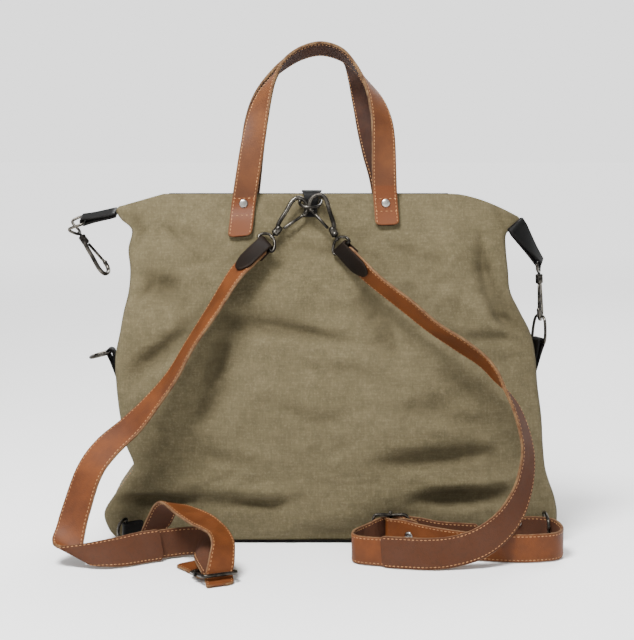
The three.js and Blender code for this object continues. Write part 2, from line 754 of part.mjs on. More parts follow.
// Handles and straps
add('handle_near', strip(NEAR_HANDLE, HANDLE_WIDTH, HANDLE_THICK, HANDLE_STEPS), tan);
add('handle_far', strip(FAR_HANDLE, HANDLE_WIDTH, HANDLE_THICK, HANDLE_STEPS), tan);
add('left_shoulder_strap', strip(LEFT_STRAP, STRAP_WIDTH, STRAP_THICK, STRAP_STEPS), tan);
add('right_shoulder_strap', strip(RIGHT_STRAP, STRAP_WIDTH, STRAP_THICK, STRAP_STEPS), tan);
add('left_end_strap', strip(LEFT_END, END_STRAP_WIDTH, STRAP_THICK, END_STEPS), tan);
add('right_end_strap', strip(RIGHT_END, END_STRAP_WIDTH, STRAP_THICK, END_STEPS), tan);
add('left_buckle_strap', strip(LEFT_BUCKLE, END_STRAP_WIDTH, STRAP_THICK, END_STEPS), tan);
add('right_buckle_strap', strip(RIGHT_BUCKLE, END_STRAP_WIDTH, STRAP_THICK, BUCKLE_STRAP_STEPS), tan);

// Leather tabs folded round a metal bar

// Room between the bar's middle and the middle of the leather round it
const BAR_ROOM = (EYE_WIRE / 2 + GAP) / Math.cos(Math.PI / 2 / TAB_TURNS) + TAB_THICK / 2;

// Strip laid along the stops of a path, round the bar and back along the last stops.
// A stop is {c, side, face, off, width}, off is its distance from the path's middle.
function foldedTab(path, bar, barSide, width, back) {
  const near = path[path.length - 1];
  const lay = (stop, sign) => section(
    stop.c.clone().addScaledVector(stop.face, sign * stop.off),
    stop.side,
    stop.face.clone().multiplyScalar(sign),
    stop.width,
    TAB_THICK,
  );
  const outward = barSide.clone().cross(near.face).normalize();
  if (outward.dot(bar.clone().sub(near.c)) < 0) outward.negate();
  const rings = path.map((stop) => lay(stop, 1));
  for (let i = 0; i <= TAB_TURNS; i += 1) {
    const a = Math.PI * i / TAB_TURNS;
    const dir = near.face.clone().multiplyScalar(Math.cos(a)).addScaledVector(outward, Math.sin(a));
    const c = bar.clone().addScaledVector(dir, BAR_ROOM);
    rings.push(section(c, barSide, dir, width, TAB_THICK));
  }
  path.slice(path.length - back).reverse().forEach((stop) => rings.push(lay(stop, -1)));
  return skin(rings, false);
}

// Dark tab over the hook end of a shoulder strap. Gives the place of the bar it holds.
function strapTab(name, table, outer, steps) {
  const list = records(table);
  const path = [];
  for (let i = 0; i <= steps; i += 1) {
    const f = routeFrame(list, (steps - i) / STRAP_STEPS);
    const width = STRAP_WIDTH * f.wide * (i === 0 ? TIP_SHARE : 1);
    path.push({ c: f.c, side: f.side, face: f.face.multiplyScalar(outer), off: BAR_ROOM, width });
  }
  const start = routeFrame(list, 0);
  const bar = start.c.clone().addScaledVector(start.along, -EYE_WIRE - 2 * GAP);
  add(name, foldedTab(path, bar, start.side, STRAP_WIDTH * start.wide, BACK_STOPS), brown);
  return { bar, side: start.side, along: start.along };
}

// Short black tab from a seam to a bar
function seamTab(name, tab) {
  const run = tab.bar.clone().sub(tab.from).normalize();
  const off = TAB_THICK / 2 + GAP / 2;
  const faceOf = (side) => run.clone().cross(side).normalize();
  const stop = (t, turn, spread) => {
    const side = tab.fromSide.clone().lerp(tab.barSide, turn).normalize();
    const width = mix(tab.fromWidth, tab.barWidth, turn);
    return { c: tab.from.clone().lerp(tab.bar, t), side, face: faceOf(side), off: off * spread, width };
  };
  const path = [stop(0, 0, 1), stop(TAB_BEND, 0.7, 1.4)];
  const near = path[1];
  near.face = faceOf(near.side);
  add(name, foldedTab(path, tab.bar, tab.barSide, tab.barWidth, 2), black);
}

// Metal rings

// D-ring: middle of its bar, direction of the bar and of the curve
function dRing(name, bar, side, out, width, deep) {
  const u = side.clone().normalize();
  const v = out.clone().addScaledVector(u, -out.dot(u)).normalize();
  const points = records(D_LINE).map((p) => bar.clone()
    .addScaledVector(u, p.across * width).addScaledVector(v, p.deep * deep));
  add(name, wire(points, RING_WIRE, true, RING_STEPS, THIN_SIDES), metal);
}

// Snap hooks

// Hook body with its barrel bored for the eye's post, and the gate
function hookBody(name, f, gateSide) {
  const at = (p) => f.point(p.along * HOOK_LENGTH, -gateSide * p.away * HOOK_LENGTH);
  const rod = wire(records(HOOK_LINE).map(at), HOOK_ROD, false, HOOK_STEPS);
  const stations = records(BARREL).map((p) => [p.along * HOOK_LENGTH, p.radius * BARREL_RADIUS]);
  const barrel = turned(f.at, f.l, stations, BARREL_SIDES);
  const hole = POST_RADIUS + GAP;
  const bore = turned(f.at, f.l, [[-BORE_DEPTH, hole], [0, hole]], TURNED_SIDES);
  add(name + '_body', combine([rod, barrel], [bore]), metal);
  const [pivot, tip] = records(GATE_LINE).map(at);
  const run = tip.clone().sub(pivot);
  const long = run.length();
  const r = GATE_ROD / 2;
  const gate = [[0, r * 0.7], [r * 0.4, r], [long - r * 0.4, r], [long, r * 0.7]];
  add(name + '_gate', turned(pivot, run, gate, TURNED_SIDES), metal);
}

// Eye that holds the leather, with a post turning in the barrel
function hookEye(name, f, hook) {
  const neck = f.point(-NECK_REACH, 0);
  const half = hook.across.clone().normalize().multiplyScalar(hook.eyeWidth / 2);
  const eye = records(EYE_LINE).map((p) => {
    const bulge = Math.sin(Math.PI * p.down) * hook.bulge;
    return hook.bar.clone().lerp(neck, p.down).addScaledVector(half, p.half)
      .addScaledVector(BULGE_WAY, bulge);
  });
  const post = turned(neck, f.l, [[-1, POST_RADIUS], [POST_LENGTH, POST_RADIUS]], WIRE_SIDES);
  add(name + '_eye', combine([wire(eye, EYE_WIRE, true, EYE_STEPS, THIN_SIDES), post]), metal);
}

// Whole hook: bar is where the eye holds the leather, barrel the middle of the swivel
function snapHook(name, hook) {
  const f = frame(hook.barrel, hook.along, hook.out);
  hookBody(name, f, hook.gateSide);
  hookEye(name, f, hook);
}

// Hook on the end of a shoulder strap, aimed at a target point that its barrel is grip away from
function strapHook(name, tab, target, grip, gateSide) {
  const along = target.clone().sub(tab.bar).normalize();
  snapHook(name, {
    bar: tab.bar,
    barrel: target.clone().addScaledVector(along, -grip),
    along,
    out: TO_CAMERA,
    across: tab.side,
    eyeWidth: STRAP_WIDTH * STRAP_NARROW + EYE_WIRE + 2 * EYE_SIDE_ROOM,
    bulge: 0,
    gateSide,
  });
}

// Top ring and the two strap hooks clipped to it
const topRing = spot(-0.044, 0.318, 0.982);
const leftTarget = topRing.clone().add(vec(-9.9, -7.28, -3.53));
const rightTarget = topRing.clone().add(vec(9, -12.09, -3.53));
dRing('top_d_ring', topRing, ALONG_X, vec(0, -1, -0.35), 21, 19);
const leftTab = strapTab('left_strap_tab', LEFT_STRAP, -1, LEFT_TAB_STEPS);
const rightTab = strapTab('right_strap_tab', RIGHT_STRAP, 1, RIGHT_TAB_STEPS);
strapHook('left_strap_hook', leftTab, leftTarget, LEFT_GRIP, -1);
strapHook('right_strap_hook', rightTab, rightTarget, RIGHT_GRIP, 1);

// Hook hanging free from the left ear
const leftBar = spot(-0.560, 0.42, 0.925);
const leftBarSide = vec(0, 0.95, 0.3).normalize();
seamTab('left_ear_tab', {
  from: spot(-0.4868, 0.41, 0.946),
  bar: leftBar,
  fromSide: vec(0, 0.95, 0.3).normalize(),
  barSide: leftBarSide,
  fromWidth: EAR_TAB_WIDE,
  barWidth: TAB_WIDE,
});
snapHook('left_ear_hook', {
  bar: leftBar,
  barrel: spot(-0.562, 0.42, 0.866),
  along: vec(0.555, 0, -0.832),
  out: vec(0.787, -0.326, 0.525),
  across: leftBarSide,
  eyeWidth: TAB_EYE,
  bulge: 12,
  gateSide: 1,
});

// Hook clipped to the ring on the right side
const rightBar = spot(0.4790, 0.423, 0.805);
const rightBarSide = vec(0.25, 0.93, 0.28).normalize();
seamTab('right_ear_tab', {
  from: spot(0.4200, 0.320, 0.915),
  bar: rightBar,
  fromSide: vec(0.74, 0.25, 0.62).normalize(),
  barSide: rightBarSide,
  fromWidth: EAR_TAB_WIDE,
  barWidth: TAB_WIDE,
});
snapHook('right_ear_hook', {
  bar: rightBar,
  barrel: rightBar.clone().add(vec(1, 0, -EYE_REACH)),
  along: vec(0.05, 0, -1),
  out: vec(-0.961, 0.276, 0),
  across: rightBarSide,
  eyeWidth: TAB_EYE,
  bulge: 0,
  gateSide: 1,
});

// Side rings on short tabs
const leftRing = spot(-0.5060, 0.46, 0.535);
seamTab('left_side_tab', {
  from: spot(-0.4830, 0.46, 0.445),
  bar: leftRing,
  fromSide: ALONG_Y,
  barSide: ALONG_Y,
  fromWidth: TAB_WIDE,
  barWidth: TAB_WIDE,
});
dRing('left_side_d_ring', leftRing, ALONG_Y, vec(-1, 0, -0.27), 24, 22);
const rightRing = spot(0.4820, 0.427, 0.568);
const rightRingSide = vec(-0.34, 0.94, 0).normalize();
seamTab('right_side_tab', {
  from: spot(0.4700, 0.43, 0.476),
  bar: rightRing,
  fromSide: ALONG_Y,
  barSide: rightRingSide,
  fromWidth: TAB_WIDE,
  barWidth: TAB_WIDE,
});
dRing('right_side_d_ring', rightRing, rightRingSide, vec(0.06, 0, 1), 26, 27.5);

// Bottom corner rings
const leftFoot = spot(-0.455, -0.098, 0.047);
seamTab('left_foot_tab', {
  from: spot(-0.420, -0.058, 0.048),
  bar: leftFoot,
  fromSide: ALONG_Z,
  barSide: ALONG_Z,
  fromWidth: FOOT_TAB_WIDE,
  barWidth: TAB_WIDE,
});
dRing('left_foot_d_ring', leftFoot, ALONG_Z, vec(-0.4, -1, 0), 24, 17);
const rightFoot = spot(0.478, -0.090, 0.0535);
seamTab('right_foot_tab', {
  from: spot(0.450, -0.062, 0.0535),
  bar: rightFoot,
  fromSide: ALONG_Z,
  barSide: ALONG_Z,
  fromWidth: FOOT_TAB_WIDE,
  barWidth: FOOT_TAB_WIDE,
});
dRing('right_foot_d_ring', rightFoot, ALONG_Z, vec(0.1, -1, 0), 33, 22);

// Buckles

// Frame with a middle bar across it whose one end stands out
function buckle(name, centre, along, across) {
  const u = along.clone().normalize();
  const v = across.clone().normalize();
  const at = (a, b) => centre.clone().addScaledVector(u, a).addScaledVector(v, b);
  const halfLong = (BUCKLE_LONG - BUCKLE_WIRE) / 2;
  const halfTall = (BUCKLE_TALL - BUCKLE_WIRE) / 2;
  const points = records(BUCKLE_LINE).map((p) => at(p.along * halfLong, p.across * halfTall));
  const ring = wire(points, BUCKLE_WIRE, true, BUCKLE_STEPS);
  const r = BUCKLE_BAR / 2;
  const bar = turned(at(0, -halfTall), v, [[0, r], [halfTall * 2 + BUCKLE_STUB, r]], TURNED_SIDES);
  add(name, combine([ring, bar]), metal);
}
buckle('right_buckle', spot(0.1345, -0.1692, 0.0525), ALONG_X, ALONG_Z);
buckle('left_buckle', spot(-0.2422, -1.0046, 0.0215), vec(0.43, -0.9, 0.12), vec(-0.9, -0.43, 0));

// Top tab and rivets

add('top_tab', strip(TOP_TAB, TOP_TAB_WIDTH, TOP_TAB_THICK, TOP_TAB_STEPS), black);

// Domed rivet standing on a face, from the face outward
function rivet(name, at, out) {
  const stations = records(DOME).map((p) => [p.along * RIVET_DOME, p.radius * RIVET_DIAMETER / 2]);
  add(name, turned(at, out, stations, TURNED_SIDES), silver);
}

// Rivet on a handle's leg, on the face towards the given side
function handleRivet(name, table, t, side) {
  const f = routeFrame(records(table), t);
  const out = f.face.clone().multiplyScalar(f.face.dot(side) > 0 ? 1 : -1);
  rivet(name, f.c.clone().addScaledVector(out, HANDLE_THICK / 2 + RIVET_LIFT), out);
}
handleRivet('near_left_rivet', NEAR_HANDLE, 0.100, TO_CAMERA);
handleRivet('near_right_rivet', NEAR_HANDLE, 0.925, TO_CAMERA);
handleRivet('far_left_rivet', FAR_HANDLE, 0.042, ALONG_Y);
handleRivet('far_right_rivet', FAR_HANDLE, 0.958, ALONG_Y);
rivet('buckle_rivet', spot(0.1725, -0.2920, 0.0500), vec(-0.57, -0.82, 0));
rivet('ring_rivet', spot(0.4173, -0.1560, 0.0773), TO_CAMERA);

// The origin is the middle of the underside of the whole
const bounds = new THREE.Box3().setFromObject(root);
root.position.set(
  -(bounds.min.x + bounds.max.x) / 2,
  -(bounds.min.y + bounds.max.y) / 2,
  -bounds.min.z,
);

export default root;
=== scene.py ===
"""Canvas backpack with leather handles and straps, dressed for a product photograph."""

import math

import bmesh
import bpy
import numpy as np
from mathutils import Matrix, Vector, noise


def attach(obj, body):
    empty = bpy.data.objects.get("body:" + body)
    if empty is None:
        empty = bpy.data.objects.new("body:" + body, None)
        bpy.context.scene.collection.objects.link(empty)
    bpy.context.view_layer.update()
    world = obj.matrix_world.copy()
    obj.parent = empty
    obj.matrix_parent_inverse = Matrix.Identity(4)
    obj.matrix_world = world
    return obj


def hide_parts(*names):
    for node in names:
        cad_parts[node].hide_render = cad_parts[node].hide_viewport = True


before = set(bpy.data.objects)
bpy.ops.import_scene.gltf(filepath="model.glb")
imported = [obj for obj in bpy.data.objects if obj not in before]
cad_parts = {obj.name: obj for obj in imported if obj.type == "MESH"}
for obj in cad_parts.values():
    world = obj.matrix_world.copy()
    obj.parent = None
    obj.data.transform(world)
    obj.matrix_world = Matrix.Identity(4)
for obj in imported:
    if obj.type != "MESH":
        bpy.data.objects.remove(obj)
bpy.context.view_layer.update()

# Sizes in millimetres, in the frame of the part's source
BAG_WIDTH, BAG_DEPTH, BAG_HEIGHT = 450.0, 130.0, 353.0
CANVAS = 2.0
GAP = 0.3
BASE_THICK = 2.5
STRAP_WIDTH, END_STRAP_WIDTH, STRAP_THICK = 31.0, 28.0, 3.0
HANDLE_WIDTH, HANDLE_THICK = 25.0, 3.5
TAB_THICK, TAB_WIDE, EAR_TAB_WIDE, FOOT_TAB_WIDE, TAB_EYE = 2.4, 17.0, 22.0, 20.0, 25.5
STRAP_NARROW, TAB_TIP, TIP_LENGTH, TAB_BEND = 0.58, 0.35, 15, 0.65
HOOK_LENGTH, HOOK_ROD, GATE_ROD, BARREL_RADIUS = 46.0, 4.4, 3.0, 3.9
POST_RADIUS, POST_LENGTH, NECK_REACH = 1.5, 8.0, 9.0
EYE_WIRE, EYE_REACH, EYE_SIDE_ROOM, RING_WIRE = 3.0, 19.0, 2.0, 3.0
LEFT_GRIP, RIGHT_GRIP = 36.10, 31.91
BUCKLE_WIRE, BUCKLE_TALL, BUCKLE_LONG, BUCKLE_BAR, BUCKLE_STUB = 3.6, 36.2, 37.0, 3.0, 4.0
RIVET_DIAMETER, RIVET_DOME, RIVET_LIFT = 9.0, 1.6, 0.9
TOP_TAB_WIDTH, TOP_TAB_THICK = 15.0, 1.6
LEFT_FALL, RIGHT_FALL = 0.11, 0.16
TAB_TURNS = 4
BAR_ROOM = (EYE_WIRE / 2 + GAP) / math.cos(math.pi / 2 / TAB_TURNS) + TAB_THICK / 2

# From the source's frame to the shared frame
SHIFT = np.array([18.637, 9.768, 0.0])


def upright(turn, tilt, rows):
    """Rows of a route whose side direction and width stay the same."""
    return [row + [turn, tilt, 1.0] for row in rows]


# Tables of the source. Levels: up, left, right, front, back, tuck, puff and the two falls.
# Folds: two ends, depth and width. Routes: across, forward, up, turn, tilt and width share.
LEVELS = [
    [0.000, -0.485, 0.500, 0.03, 0.98, 0.00, 0.00, 0, 0],
    [0.030, -0.500, 0.511, -0.02, 1.03, 0.00, 0.01, 0, 0],
    [0.080, -0.510, 0.514, -0.03, 1.05, 0.00, 0.03, 0, 0],
    [0.130, -0.488, 0.507, -0.02, 1.03, 0.01, 0.05, 0, 0],
    [0.175, -0.462, 0.495, 0.00, 1.00, 0.02, 0.06, 0, 0],
    [0.215, -0.444, 0.487, 0.02, 0.97, 0.02, 0.08, 0, 0],
    [0.280, -0.462, 0.482, 0.03, 0.93, 0.02, 0.09, 0, 0],
    [0.360, -0.474, 0.478, 0.04, 0.88, 0.02, 0.10, 0, 0],
    [0.450, -0.482, 0.469, 0.06, 0.83, 0.02, 0.10, 0, 0],
    [0.530, -0.484, 0.464, 0.08, 0.78, 0.03, 0.10, 0, 0],
    [0.600, -0.474, 0.453, 0.10, 0.74, 0.07, 0.09, 0, 0],
    [0.660, -0.466, 0.430, 0.13, 0.70, 0.12, 0.08, 0, 0],
    [0.720, -0.455, 0.408, 0.16, 0.67, 0.16, 0.07, 0, 0],
    [0.780, -0.452, 0.404, 0.20, 0.64, 0.18, 0.05, 0, 0],
    [0.840, -0.457, 0.400, 0.24, 0.60, 0.16, 0.04, 0, 0],
    [0.900, -0.450, 0.402, 0.29, 0.56, 0.10, 0.03, 0.005, 0.015],
    [0.945, -0.474, 0.424, 0.33, 0.52, 0.03, 0.02, 0.020, 0.040],
    [0.980, -0.486, 0.434, 0.355, 0.48, 0.00, 0.01, 0.030, 0.056],
    [1.000, -0.480, 0.428, 0.37, 0.45, 0.00, 0.00, 0.036, 0.064],
]
FOLDS = [
    [-0.46, 0.13, -0.23, 0.13, 0.055, 0.07],
    [-0.23, 0.13, -0.10, 0.10, 0.040, 0.06],
    [0.21, 0.125, 0.40, 0.125, 0.060, 0.07],
    [0.15, 0.24, 0.35, 0.26, 0.045, 0.12],
    [-0.44, 0.49, -0.30, 0.61, 0.050, 0.09],
    [-0.21, 0.64, -0.02, 0.62, 0.045, 0.10],
    [-0.24, 0.60, -0.28, 0.40, 0.045, 0.12],
    [0.09, 0.66, 0.14, 0.54, 0.050, 0.10],
    [0.33, 0.82, 0.40, 0.62, 0.055, 0.09],
    [-0.38, 0.75, -0.34, 0.72, 0.045, 0.13],
]
LEFT_STRAP = [
    [-0.150, 0.143, 0.853, 132, 34, 0.58],
    [-0.180, 0.066, 0.816, 120, 24, 0.72],
    [-0.212, 0.000, 0.774, 113, 15, 0.92],
    [-0.260, -0.080, 0.677, 111, 7, 1.00],
    [-0.308, -0.135, 0.584, 108, 4, 1.00],
    [-0.348, -0.165, 0.496, 114, 3, 1.00],
    [-0.395, -0.205, 0.420, 124, 6, 1.00],
    [-0.435, -0.254, 0.364, 134, 15, 1.00],
    [-0.488, -0.323, 0.304, 142, 20, 1.00],
    [-0.523, -0.400, 0.242, 148, 13, 1.00],
    [-0.548, -0.477, 0.147, 156, 10, 1.00],
    [-0.559, -0.540, 0.090, 164, 8, 1.00],
    [-0.562, -0.620, 0.0550, 172, 18, 1.06],
    [-0.543, -0.700, 0.0362, 172, 28, 1.20],
    [-0.497, -0.700, 0.0368, 160, 40, 1.05],
    [-0.447, -0.640, 0.0400, 150, 56, 1.00],
    [-0.405, -0.560, 0.0440, 142, 68, 1.00],
    [-0.365, -0.490, 0.0456, 130, 76, 1.00],
]
LEFT_END = [
    [-0.381, -0.4885, 0.0440, 136, 73, 1.0],
    [-0.350, -0.430, 0.0440, 129, 78, 1.0],
    [-0.316, -0.385, 0.0450, 100, 82, 1.0],
    [-0.290, -0.410, 0.0480, 40, 78, 1.0],
    [-0.278, -0.510, 0.0520, 22, 64, 1.0],
    [-0.269, -0.646, 0.0550, 20, 44, 1.0],
    [-0.260, -0.777, 0.0500, 22, 22, 1.0],
    [-0.251, -0.892, 0.0385, 25, 8, 1.0],
    [-0.2445, -0.970, 0.0318, 25.5, 1, 1.0],
    [-0.2422, -1.0046, 0.0309, 25.5, 0, 1.0],
    [-0.2398, -1.0220, 0.0284, 25.5, 0, 1.0],
    [-0.2388, -1.0290, 0.0215, 25.5, 0, 1.0],
    [-0.2398, -1.0220, 0.0147, 25.5, 0, 1.0],
    [-0.2422, -1.0046, 0.0119, 25.5, 0, 1.0],
    [-0.2500, -0.9460, 0.0062, 25.5, 0, 1.0],
    [-0.2600, -0.8615, 0.0050, 27, 0, 1.0],
    [-0.2822, -0.7380, 0.0050, 34, 0, 1.0],
    [-0.3080, -0.6200, 0.0054, 40, 0, 1.0],
]
LEFT_BUCKLE = [
    [-0.4270, -0.1780, 0.0300, 0, 18, 0.50],
    [-0.4100, -0.1900, 0.0380, 4, 16, 0.75],
    [-0.3937, -0.2077, 0.0520, 9, 13, 0.95],
    [-0.3779, -0.2385, 0.0891, 26, -8, 1.00],
    [-0.3616, -0.2923, 0.1298, 36, -20, 1.00],
    [-0.3428, -0.3692, 0.1472, 44, -16, 1.00],
    [-0.3146, -0.4769, 0.1381, 58, 1, 1.00],
    [-0.2832, -0.6000, 0.1296, 65, 13, 1.00],
    [-0.2610, -0.6923, 0.1249, 63, 10, 1.00],
    [-0.2375, -0.8154, 0.1137, 54, -3, 1.00],
    [-0.2250, -0.9231, 0.0950, 44, -7, 1.00],
    [-0.2250, -1.0000, 0.0700, 36, -5, 1.00],
    [-0.2270, -1.0500, 0.0455, 29, -1, 1.00],
    [-0.2305, -1.0850, 0.0240, 25.5, 0, 1.00],
    [-0.2295, -1.1101, 0.0125, 25.5, 0, 1.00],
    [-0.2270, -1.1462, 0.0066, 25.5, 0, 1.00],
    [-0.2290, -1.1846, 0.0054, 25.5, 0, 1.00],
]
RIGHT_STRAP = [
    [0.032, 0.105, 0.843, -46, 34, 0.58],
    [0.062, 0.040, 0.806, -56, 28, 0.72],
    [0.100, -0.025, 0.760, -66, 20, 0.92],
    [0.172, -0.095, 0.690, -71, 22, 1.0],
    [0.225, -0.135, 0.635, -71, 19, 1.0],
    [0.288, -0.165, 0.583, -74, 24, 1.0],
    [0.335, -0.180, 0.540, -81, 22, 1.0],
    [0.364, -0.205, 0.499, -91, 25, 1.0],
    [0.385, -0.230, 0.459, -99, 10, 1.0],
    [0.406, -0.260, 0.413, -107, 4, 1.0],
    [0.422, -0.300, 0.355, -114, 6, 1.0],
    [0.430, -0.345, 0.298, -120, 15, 1.0],
    [0.427, -0.390, 0.246, -126, 17, 1.0],
    [0.414, -0.460, 0.190, -134, 20, 1.0],
    [0.387, -0.560, 0.135, -150, 26, 1.0],
    [0.350, -0.650, 0.094, -168, 38, 1.0],
    [0.306, -0.700, 0.064, -190, 50, 1.0],
    [0.255, -0.725, 0.048, -205, 62, 1.0],
    [0.206, -0.745, 0.0445, -222, 76, 1.0],
    [0.145, -0.713, 0.0445, -225, 80, 1.0],
    [0.108, -0.680, 0.0445, -230, 84, 1.0],
]
RIGHT_END = [
    [0.135, -0.6765, 0.0420, 118, 82, 1.0],
    [0.100, -0.6450, 0.0415, 118, 86, 1.0],
    [0.066, -0.6050, 0.0415, 120, 88, 1.0],
    [0.050, -0.540, 0.0415, 120, 88, 1.0],
    [0.053, -0.420, 0.0415, 120, 88, 1.0],
    [0.070, -0.310, 0.0415, 120, 88, 1.0],
    [0.088, -0.262, 0.0470, 120, 88, 1.0],
    [0.101, -0.228, 0.0525, 120, 88, 1.0],
    [0.1125, -0.170, 0.0525, 120, 88, 1.0],
    [0.128, -0.115, 0.0525, 120, 88, 1.0],
    [0.150, -0.100, 0.0525, 120, 88, 1.0],
    [0.175, -0.100, 0.0510, 120, 88, 1.0],
    [0.205, -0.125, 0.0480, 120, 88, 1.0],
    [0.250, -0.190, 0.0430, 120, 88, 1.0],
    [0.330, -0.245, 0.0415, 120, 88, 1.0],
]
RIGHT_BUCKLE = upright(90, 90, [
    [0.390, -0.140, 0.0535],
    [0.430, -0.140, 0.0535],
    [0.470, -0.150, 0.0535],
    [0.497, -0.215, 0.0520],
    [0.507, -0.360, 0.0450],
    [0.490, -0.490, 0.0415],
    [0.443, -0.552, 0.0415],
    [0.391, -0.560, 0.0415],
    [0.331, -0.515, 0.0415],
    [0.269, -0.450, 0.0430],
    [0.205, -0.345, 0.0480],
    [0.165, -0.252, 0.0525],
    [0.148, -0.214, 0.0525],
    [0.1351, -0.1960, 0.0525],
    [0.1289, -0.1882, 0.0525],
    [0.1267, -0.1692, 0.0525],
    [0.1289, -0.1502, 0.0525],
    [0.1344, -0.1425, 0.0525],
    [0.147, -0.155, 0.0525],
    [0.160, -0.182, 0.0525],
    [0.174, -0.204, 0.0525],
    [0.195, -0.252, 0.0500],
])
NEAR_HANDLE = [
    [-0.2030, 0.219, 0.880, 0, 5, 1.0],
    [-0.1990, 0.263, 0.922, 0, 4, 1.0],
    [-0.1950, 0.315, 0.972, 0, 2, 1.0],
    [-0.1870, 0.325, 1.040, 0, 0, 1.0],
    [-0.1755, 0.355, 1.133, -6, -2, 1.0],
    [-0.1645, 0.400, 1.212, -26, -3, 1.0],
    [-0.1490, 0.470, 1.283, -50, 2, 1.0],
    [-0.1270, 0.545, 1.340, -74, 12, 1.0],
    [-0.1000, 0.605, 1.380, -88, 22, 1.0],
    [-0.0620, 0.650, 1.410, -90, 27, 1.0],
    [-0.0180, 0.665, 1.422, -90, 28, 1.0],
    [0.0270, 0.650, 1.405, -92, 27, 1.0],
    [0.0580, 0.605, 1.368, -97, 20, 1.0],
    [0.0840, 0.545, 1.323, -108, 10, 1.0],
    [0.1040, 0.470, 1.275, -128, 4, 1.0],
    [0.1170, 0.400, 1.215, -148, 0, 1.0],
    [0.1215, 0.355, 1.150, -166, -2, 1.0],
    [0.1230, 0.335, 1.068, -180, -2, 1.0],
    [0.1250, 0.325, 1.000, -180, -1, 1.0],
    [0.1280, 0.293, 0.950, -180, -1, 1.0],
    [0.1300, 0.252, 0.912, -180, -2, 1.0],
]
FAR_HANDLE = [
    [-0.1930, 0.640, 0.880, 0, 0, 1.0],
    [-0.1910, 0.540, 0.966, 0, 0, 1.0],
    [-0.1850, 0.560, 1.040, 0, 0, 1.0],
    [-0.1780, 0.610, 1.130, 6, 0, 1.0],
    [-0.1700, 0.690, 1.215, 20, 0, 1.0],
    [-0.1550, 0.770, 1.290, 45, 0, 1.0],
    [-0.1300, 0.850, 1.352, 72, 0, 1.0],
    [-0.0950, 0.910, 1.396, 90, -10, 1.0],
    [-0.0450, 0.940, 1.420, 90, -14, 1.0],
    [0.0000, 0.935, 1.422, 90, -12, 1.0],
    [0.0370, 0.890, 1.396, 96, -6, 1.0],
    [0.0620, 0.820, 1.336, 125, 0, 1.0],
    [0.0790, 0.740, 1.262, 152, 0, 1.0],
    [0.0910, 0.660, 1.185, 168, 0, 1.0],
    [0.1040, 0.590, 1.110, 176, 0, 1.0],
    [0.1190, 0.550, 1.040, 180, 0, 1.0],
    [0.1280, 0.540, 0.966, 180, 0, 1.0],
    [0.1310, 0.640, 0.880, 180, 0, 1.0],
]
TOP_TAB = [
    [-0.041, 0.420, 1.0085, 0, 0, 1.35],
    [-0.041, 0.350, 1.0085, 0, 0, 1.35],
    [-0.041, 0.312, 1.000, 0, 0, 1.1],
    [-0.042, 0.296, 0.982, 0, 0, 0.9],
    [-0.043, 0.298, 0.962, 0, 0, 0.9],
    [-0.044, 0.286, 0.935, 0, 0, 0.9],
]
# Hook and gate: along and beside the hook, in shares of its length
HOOK_LINE = [
    [0.022, 0.022],
    [0.130, 0.076],
    [0.435, 0.130],
    [0.739, 0.180],
    [0.859, 0.130],
    [0.902, 0.022],
    [0.880, -0.109],
    [0.783, -0.200],
    [0.661, -0.217],
]
GATE_LINE = [
    [0.121, -0.072],
    [0.639, -0.205],
]
# Ring: across and out, in shares of its width and depth
D_LINE = [
    [-0.50, 0.00],
    [-0.40, 0.00],
    [0.40, 0.00],
    [0.50, 0.00],
    [0.50, 0.50],
    [0.34, 0.90],
    [0.00, 1.00],
    [-0.34, 0.90],
    [-0.50, 0.50],
]
# Buckle frame: along and across, in halves of its length and height
BUCKLE_LINE = [
    [-1.00, -0.88],
    [-1.00, 0.00],
    [-1.00, 0.88],
    [-0.88, 1.00],
    [0.00, 1.00],
    [0.88, 1.00],
    [1.00, 0.88],
    [1.00, 0.00],
    [1.00, -0.88],
    [0.88, -1.00],
    [0.00, -1.00],
    [-0.88, -1.00],
]
# Eye: from the bar to the neck, and across in halves of its width
EYE_LINE = [
    [0.00, -0.60],
    [0.00, 0.60],
    [0.00, 1.00],
    [0.45, 0.95],
    [1.00, 0.35],
    [1.00, -0.35],
    [0.45, -0.95],
    [0.00, -1.00],
]


# Shape helpers

def unit(v):
    return v / np.maximum(np.linalg.norm(v, axis=-1, keepdims=True), 1e-9)


def travelled(line):
    """Distance gone at each point of a line."""
    return np.concatenate([[0], np.cumsum(np.linalg.norm(np.diff(line, axis=0), axis=1))])


def blend(u, a, leave, b, arrive):
    """Smooth way from a to b at the shares u, with the slopes at both ends."""
    u2, u3 = u * u, u * u * u
    return (
        (2 * u3 - 3 * u2 + 1) * a + (u3 - 2 * u2 + u) * leave
        + (3 * u2 - 2 * u3) * b + (u3 - u2) * arrive
    )


def spot(across, forward, up):
    """A place given in shares of the bag's width, depth and height, in millimetres."""
    return np.array([across * BAG_WIDTH, forward * BAG_DEPTH, up * BAG_HEIGHT])


def between(rows, t):
    """Smooth rows of a table at the shares t of its length."""
    rows = np.asarray(rows, float)
    f = np.clip(np.atleast_1d(t), 0, 1) * (len(rows) - 1)
    i = np.minimum(len(rows) - 2, np.floor(f).astype(int))
    u = (f - i).reshape((-1,) + (1,) * (rows.ndim - 1))
    a, b, c, d = (rows[np.clip(i + k, 0, len(rows) - 1)] for k in (-1, 0, 1, 2))
    return blend(u, b, (c - a) / 2, c, (d - b) / 2)


def heading(turn, tilt):
    turn, tilt = np.radians(turn), np.radians(tilt)
    return np.stack([np.cos(tilt) * np.cos(turn), np.cos(tilt) * np.sin(turn), np.sin(tilt)], -1)


